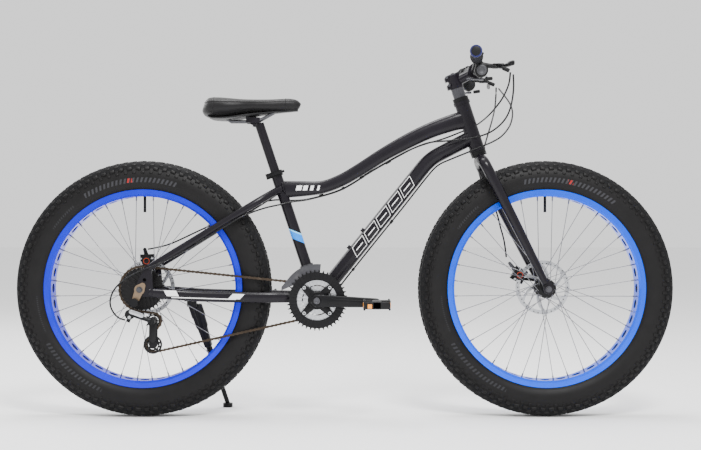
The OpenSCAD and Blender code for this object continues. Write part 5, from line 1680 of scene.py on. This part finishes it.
    def derailleur_trim(self) -> None:
        """Adds the rear derailleur's bright link plate, its bolts, and the cage's round guard."""
        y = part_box("rear_derailleur")[0].y / MM + 1
        sprocket, tension, guide = (self.loop.gears[i].at for i in (0, 2, 3))
        x, z = sprocket.x - 24, sprocket.z - 69
        link = plate("derailleur_link", rounded((x + 4, z + 8), 6, (x + 34, z - 3), 6), y, 3, 0.8)
        bolts = [bar("derailleur_bolt", mm(x + dx, y + 2, z + dz), mm(x + dx, y - 2.4, z + dz),
                     size, 20, 0.5, 1.4) for dx, dz, size in ((4, 8, 3.6), (34, -3, 3.2), (-1, -8, 4.6))]
        settle(join("derailleur_bright_trim", [link] + bolts), "frame", SILVER)
        guard_y = self.chain_y - 6.6
        cage = plate("cage_plate", rounded((guide.x, guide.z), 12, (tension.x, tension.z + 14), 9),
                     guard_y - 2.6, 1.8, 0.5)
        guard = washer("cage_guard", mm(tension.x, 0, tension.z), 27, 21.5, guard_y - 0.8, guard_y + 0.8, 56)
        webs = self.webs("guard_web", tension, 8, 23, 2.0, 0.3, guard_y, 1.5)
        settle(join("derailleur_guard", [guard, cage] + webs), "frame", PLASTIC)


# ---------------------------------------------------------------- cables and small fittings


REAR_BRAKE_ROUTE = (
    (462, -195, 984), (458, -188, 950), (444, -150, 914), (422, -80, 882), (404, 0, 864), (382, 36, 850),
    (340, 42, 832), (290, 26, 812), (230, 18, 794), (173, 12, 770), (79, 12, 717), (20, 12, 679),
    (-30, 12, 655), (-108, 14, 634), (-160, 24, 630), (-205, 36, 632), (-255, 66, 622), (-330, 86, 590),
    (-433, 92, 543), (-520, 98, 503), (-566, 86, 490), (-588, 76, 486))
REAR_SHIFT_ROUTE = (
    (470, -196, 978), (472, -184, 935), (468, -150, 890), (456, -110, 858), (430, -74, 832), (400, -46, 818),
    (360, -34, 809), (302, -30, 803), (251, -22, 799), (215, -14, 788), (173, -12, 768), (79, -12, 715),
    (20, -12, 677), (-30, -12, 653), (-108, -14, 632), (-150, -24, 626), (-185, -30, 618), (-235, -48, 606),
    (-290, -72, 585), (-345, -84, 553), (-433, -84, 499), (-510, -98, 458), (-545, -108, 442),
    (-585, -109, 426), (-621, -108, 406), (-648, -108, 385), (-664, -108, 361), (-669, -108, 333),
    (-660, -108, 309), (-644, -108, 293), (-626, -108, 287))
FRONT_SHIFT_ROUTE = (
    (472, 196, 977), (487, 160, 950), (498, 110, 920), (498, 56, 888), (484, 4, 850), (458, -24, 818),
    (430, -38, 800), (400, -40, 787), (360, -38, 770), (310, -28, 750), (272, -10, 732), (240, 0, 698),
    (170, 0, 609), (103, 0, 526), (50, 0, 460), (-1, 0, 396), (-26, 0, 360), (-44, 0, 324), (-70, 0, 309),
    (-96, 0, 311), (-112, -8, 330))
FRONT_BRAKE_ROUTE = (
    (464, 195, 980), (462, 186, 950), (456, 160, 914), (444, 120, 875), (428, 80, 832), (416, 62, 796),
    (404, 62, 762), (398, 68, 728), (406, 72, 693), (431, 74, 644), (452, 74, 596), (464, 72, 550),
    (474, 66, 510), (480, 62, 462))


@dataclass
class Cable:
    """One cable in its housing, from a lever on the bar to what it pulls."""

    name: str
    route: tuple[Point, ...]
    node: str
    turns_from: int = -1
    turns_to: int = -1
    radius: float = 2.5

    def build(self) -> None:
        """Sweeps the housing, sets it on the fork or in place, and hides its CAD node."""
        run = smooth_run(self.route, 4)
        piece = tube(self.name, [[*p, self.radius, self.radius] for p in run], 10, Vector((0.1, 0.3, 0.95)))
        soften(piece, 60)
        piece.data.materials.append(SHEATH.material())
        if self.turns_from < 0:
            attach(piece, "fork")
        else:
            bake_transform(piece)
        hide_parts(self.node)


@dataclass
class Fittings:
    """Bolts, brake faces and the kickstand's moulded body."""

    rotor_reach: float = 78.0
    stand_hinge: Point = (0.194, 0.922, 0.335)

    def build(self) -> None:
        """Makes every small fitting."""
        for end, angle, y in (("front", 152, 50), ("rear", 92, 62)):
            self.brake_face(end, angle, y)
        self.kickstand()
        self.boss_bolts()

    def brake_face(self, end: str, angle: float, rotor_y: float) -> None:
        """Adds a ringed face, its accent and two bolts to a calliper.

        Args:
            end: front or rear.
            angle: where the calliper sits round the axle, in degrees.
            rotor_y: the rotor's place across the bike, in millimetres.
        """
        axle = centre_of(end + "_tyre") / MM
        a = math.radians(angle)
        at = axle + self.rotor_reach * facing(a)
        body = "fork" if end == "front" else "frame"
        inner = rotor_y - 12.5
        face = bar(end + "_brake_face", mm(at.x, inner + 2, at.z), mm(at.x, inner - 3.5, at.z),
                   12.5, 36, 1.0, 1.6)
        settle(face, body, PLASTIC)
        accent = turned(end + "_brake_ring", at * MM, [(9.4, inner - 3.8), (9.4, inner - 2), (7.6, inner - 2),
                                                       (7.6, inner - 3.8)], 36)
        settle(accent, body, RED)
        bolts = []
        for turn in (-1, 1):
            spot = axle + facing(a + turn * 0.19) * (self.rotor_reach + 9)
            bolts.append(bar("brake_bolt", mm(spot.x, inner + 12, spot.z), mm(spot.x, inner - 1.5, spot.z),
                             3.2, 16, 0.5, 1.2))
        settle(join(end + "_brake_bolts", bolts), body, SILVER)

    def kickstand(self) -> None:
        """Makes the stand's wide stepped upper body round the CAD leg."""
        pivot = joint_place("kickstand_fold")
        hinge = Vector(self.stand_hinge).normalized()
        start = pivot + 6 * hinge
        foot = Vector((pivot.x + 96, 190, 10))
        way = (foot - start).normalized()
        rows = [(14, 15, 6), (16, 21, 7.2), (52, 21.5, 7.2), (56, 19, 7.2), (84, 18.5, 7.5), (92, 15, 8.5),
                (128, 12.5, 9), (150, 11, 10.6), (152, 9.4, 9.4)]
        body = tube("kickstand_body", [[*(start + way * t), wide, thick] for t, wide, thick in rows], 24,
                    hinge, 4.5)
        bolts = [bar("stand_bolt", (start + way * t - hinge * 4) * MM, (start + way * t - hinge * 8.8) * MM,
                     4, 16, 0.5, 1.4) for t in (30, 70)]
        settle(body, "kickstand_leg", PLASTIC)
        settle(join("kickstand_bolts", bolts), "kickstand_leg", SILVER)

    def boss_bolts(self) -> None:
        """Rings each bottle boss with a bright washer."""
        crank = joint_place("crank_spin")
        a = math.radians(DOWN_TUBE_ANGLE)
        along, up = facing(a), Vector((-math.sin(a), 0, math.cos(a)))
        turns = [2 * math.pi * k / 24 for k in range(24)]
        washers = []
        for t in (176, 240):
            at = crank + along * t + up * 28
            at.y = 0
            loops = [[(at + (along * math.cos(b) + SIDE * math.sin(b)) * r + up * h) * MM for b in turns]
                     for r, h in ((6, -0.6), (6, 0.5), (3, 0.5), (3, -0.6))]
            washers.append(ring_band("boss_washer", loops))
        settle(join("boss_washers", washers), "frame", SILVER)


# ---------------------------------------------------------------- studio


@dataclass
class Studio:
    """Pale floor, soft lights and the camera."""

    eye: Point = (0.0164, -4.0, 0.5579)
    lens: float = 70.1
    floor_tone: float = 0.92
    sky: float = 1.25
    lamp_target: Point = (0, 0, 0.5)
    lamps: tuple[tuple[str, Point, float, float], ...] = (
        ("key", (0.8, -3.6, 4.2), 1.3, 330), ("top", (-0.4, 0.3, 4.2), 2.0, 170),
        ("rim", (-3.0, 2.4, 2.6), 2.0, 70))

    def build(self) -> None:
        """Makes everything that isn't the bike."""
        self.floor()
        self.lights()
        self.camera()

    def floor(self) -> None:
        """Adds the plain pale floor."""
        deselect()
        bpy.ops.mesh.primitive_plane_add(size=60.0, location=(0, 0, -0.0006))
        ground = bpy.context.object
        ground.name = "studio_floor"
        pale = bpy.data.materials.new("studio_floor")
        pale.use_nodes = True
        shader = pale.node_tree.nodes["Principled BSDF"]
        shader.inputs["Base Color"].default_value = (self.floor_tone, self.floor_tone, self.floor_tone, 1)
        shader.inputs["Roughness"].default_value = 0.9
        ground.data.materials.append(pale)

    def lights(self) -> None:
        """Adds a bright even sky and three soft lamps."""
        world = bpy.context.scene.world or bpy.data.worlds.new("studio")
        bpy.context.scene.world = world
        world.use_nodes = True
        sky = world.node_tree.nodes["Background"]
        sky.inputs["Color"].default_value = (1, 1, 1, 1)
        sky.inputs["Strength"].default_value = self.sky
        for name, place, size, power in self.lamps:
            lamp = bpy.data.lights.new(name, "AREA")
            lamp.size = size
            lamp.energy = power
            holder = bpy.data.objects.new(name, lamp)
            bpy.context.scene.collection.objects.link(holder)
            holder.location = place
            aim = Vector(self.lamp_target) - Vector(place)
            holder.rotation_euler = aim.to_track_quat("-Z", "Y").to_euler()

    def camera(self) -> None:
        """Adds the level camera on the drive side."""
        lens = bpy.data.cameras.new("camera")
        lens.lens = self.lens
        lens.sensor_width = 36.0
        eye = bpy.data.objects.new("camera", lens)
        bpy.context.scene.collection.objects.link(eye)
        eye.location = self.eye
        eye.rotation_euler = (math.pi / 2, 0, 0)
        bpy.context.scene.camera = eye


def main() -> None:
    """Builds every sub-assembly in order."""
    Studio().build()
    for cable in (Cable("rear_brake_cable", REAR_BRAKE_ROUTE, "frame_cables", 5, 1),
                  Cable("rear_shift_cable", REAR_SHIFT_ROUTE, "frame_cables", 5, 1),
                  Cable("front_shift_cable", FRONT_SHIFT_ROUTE, "frame_cables", 6, 1),
                  Cable("front_brake_housing", FRONT_BRAKE_ROUTE, "front_brake_cable")):
        cable.build()
    for part in (Wheel("front", RIM_FRONT), Wheel("rear", RIM_REAR), Frame(), Fork(), Cockpit(), Saddle(),
                 Drivetrain(), Fittings()):
        part.build()
    shown = [n for n, o in frame["nodes"].items() if not o.hide_render]
    log.info("CAD nodes shown: %s", ", ".join(sorted(shown)))


if __name__ == "__main__":
    logging.basicConfig(level=logging.INFO, format="%(message)s")
    main()
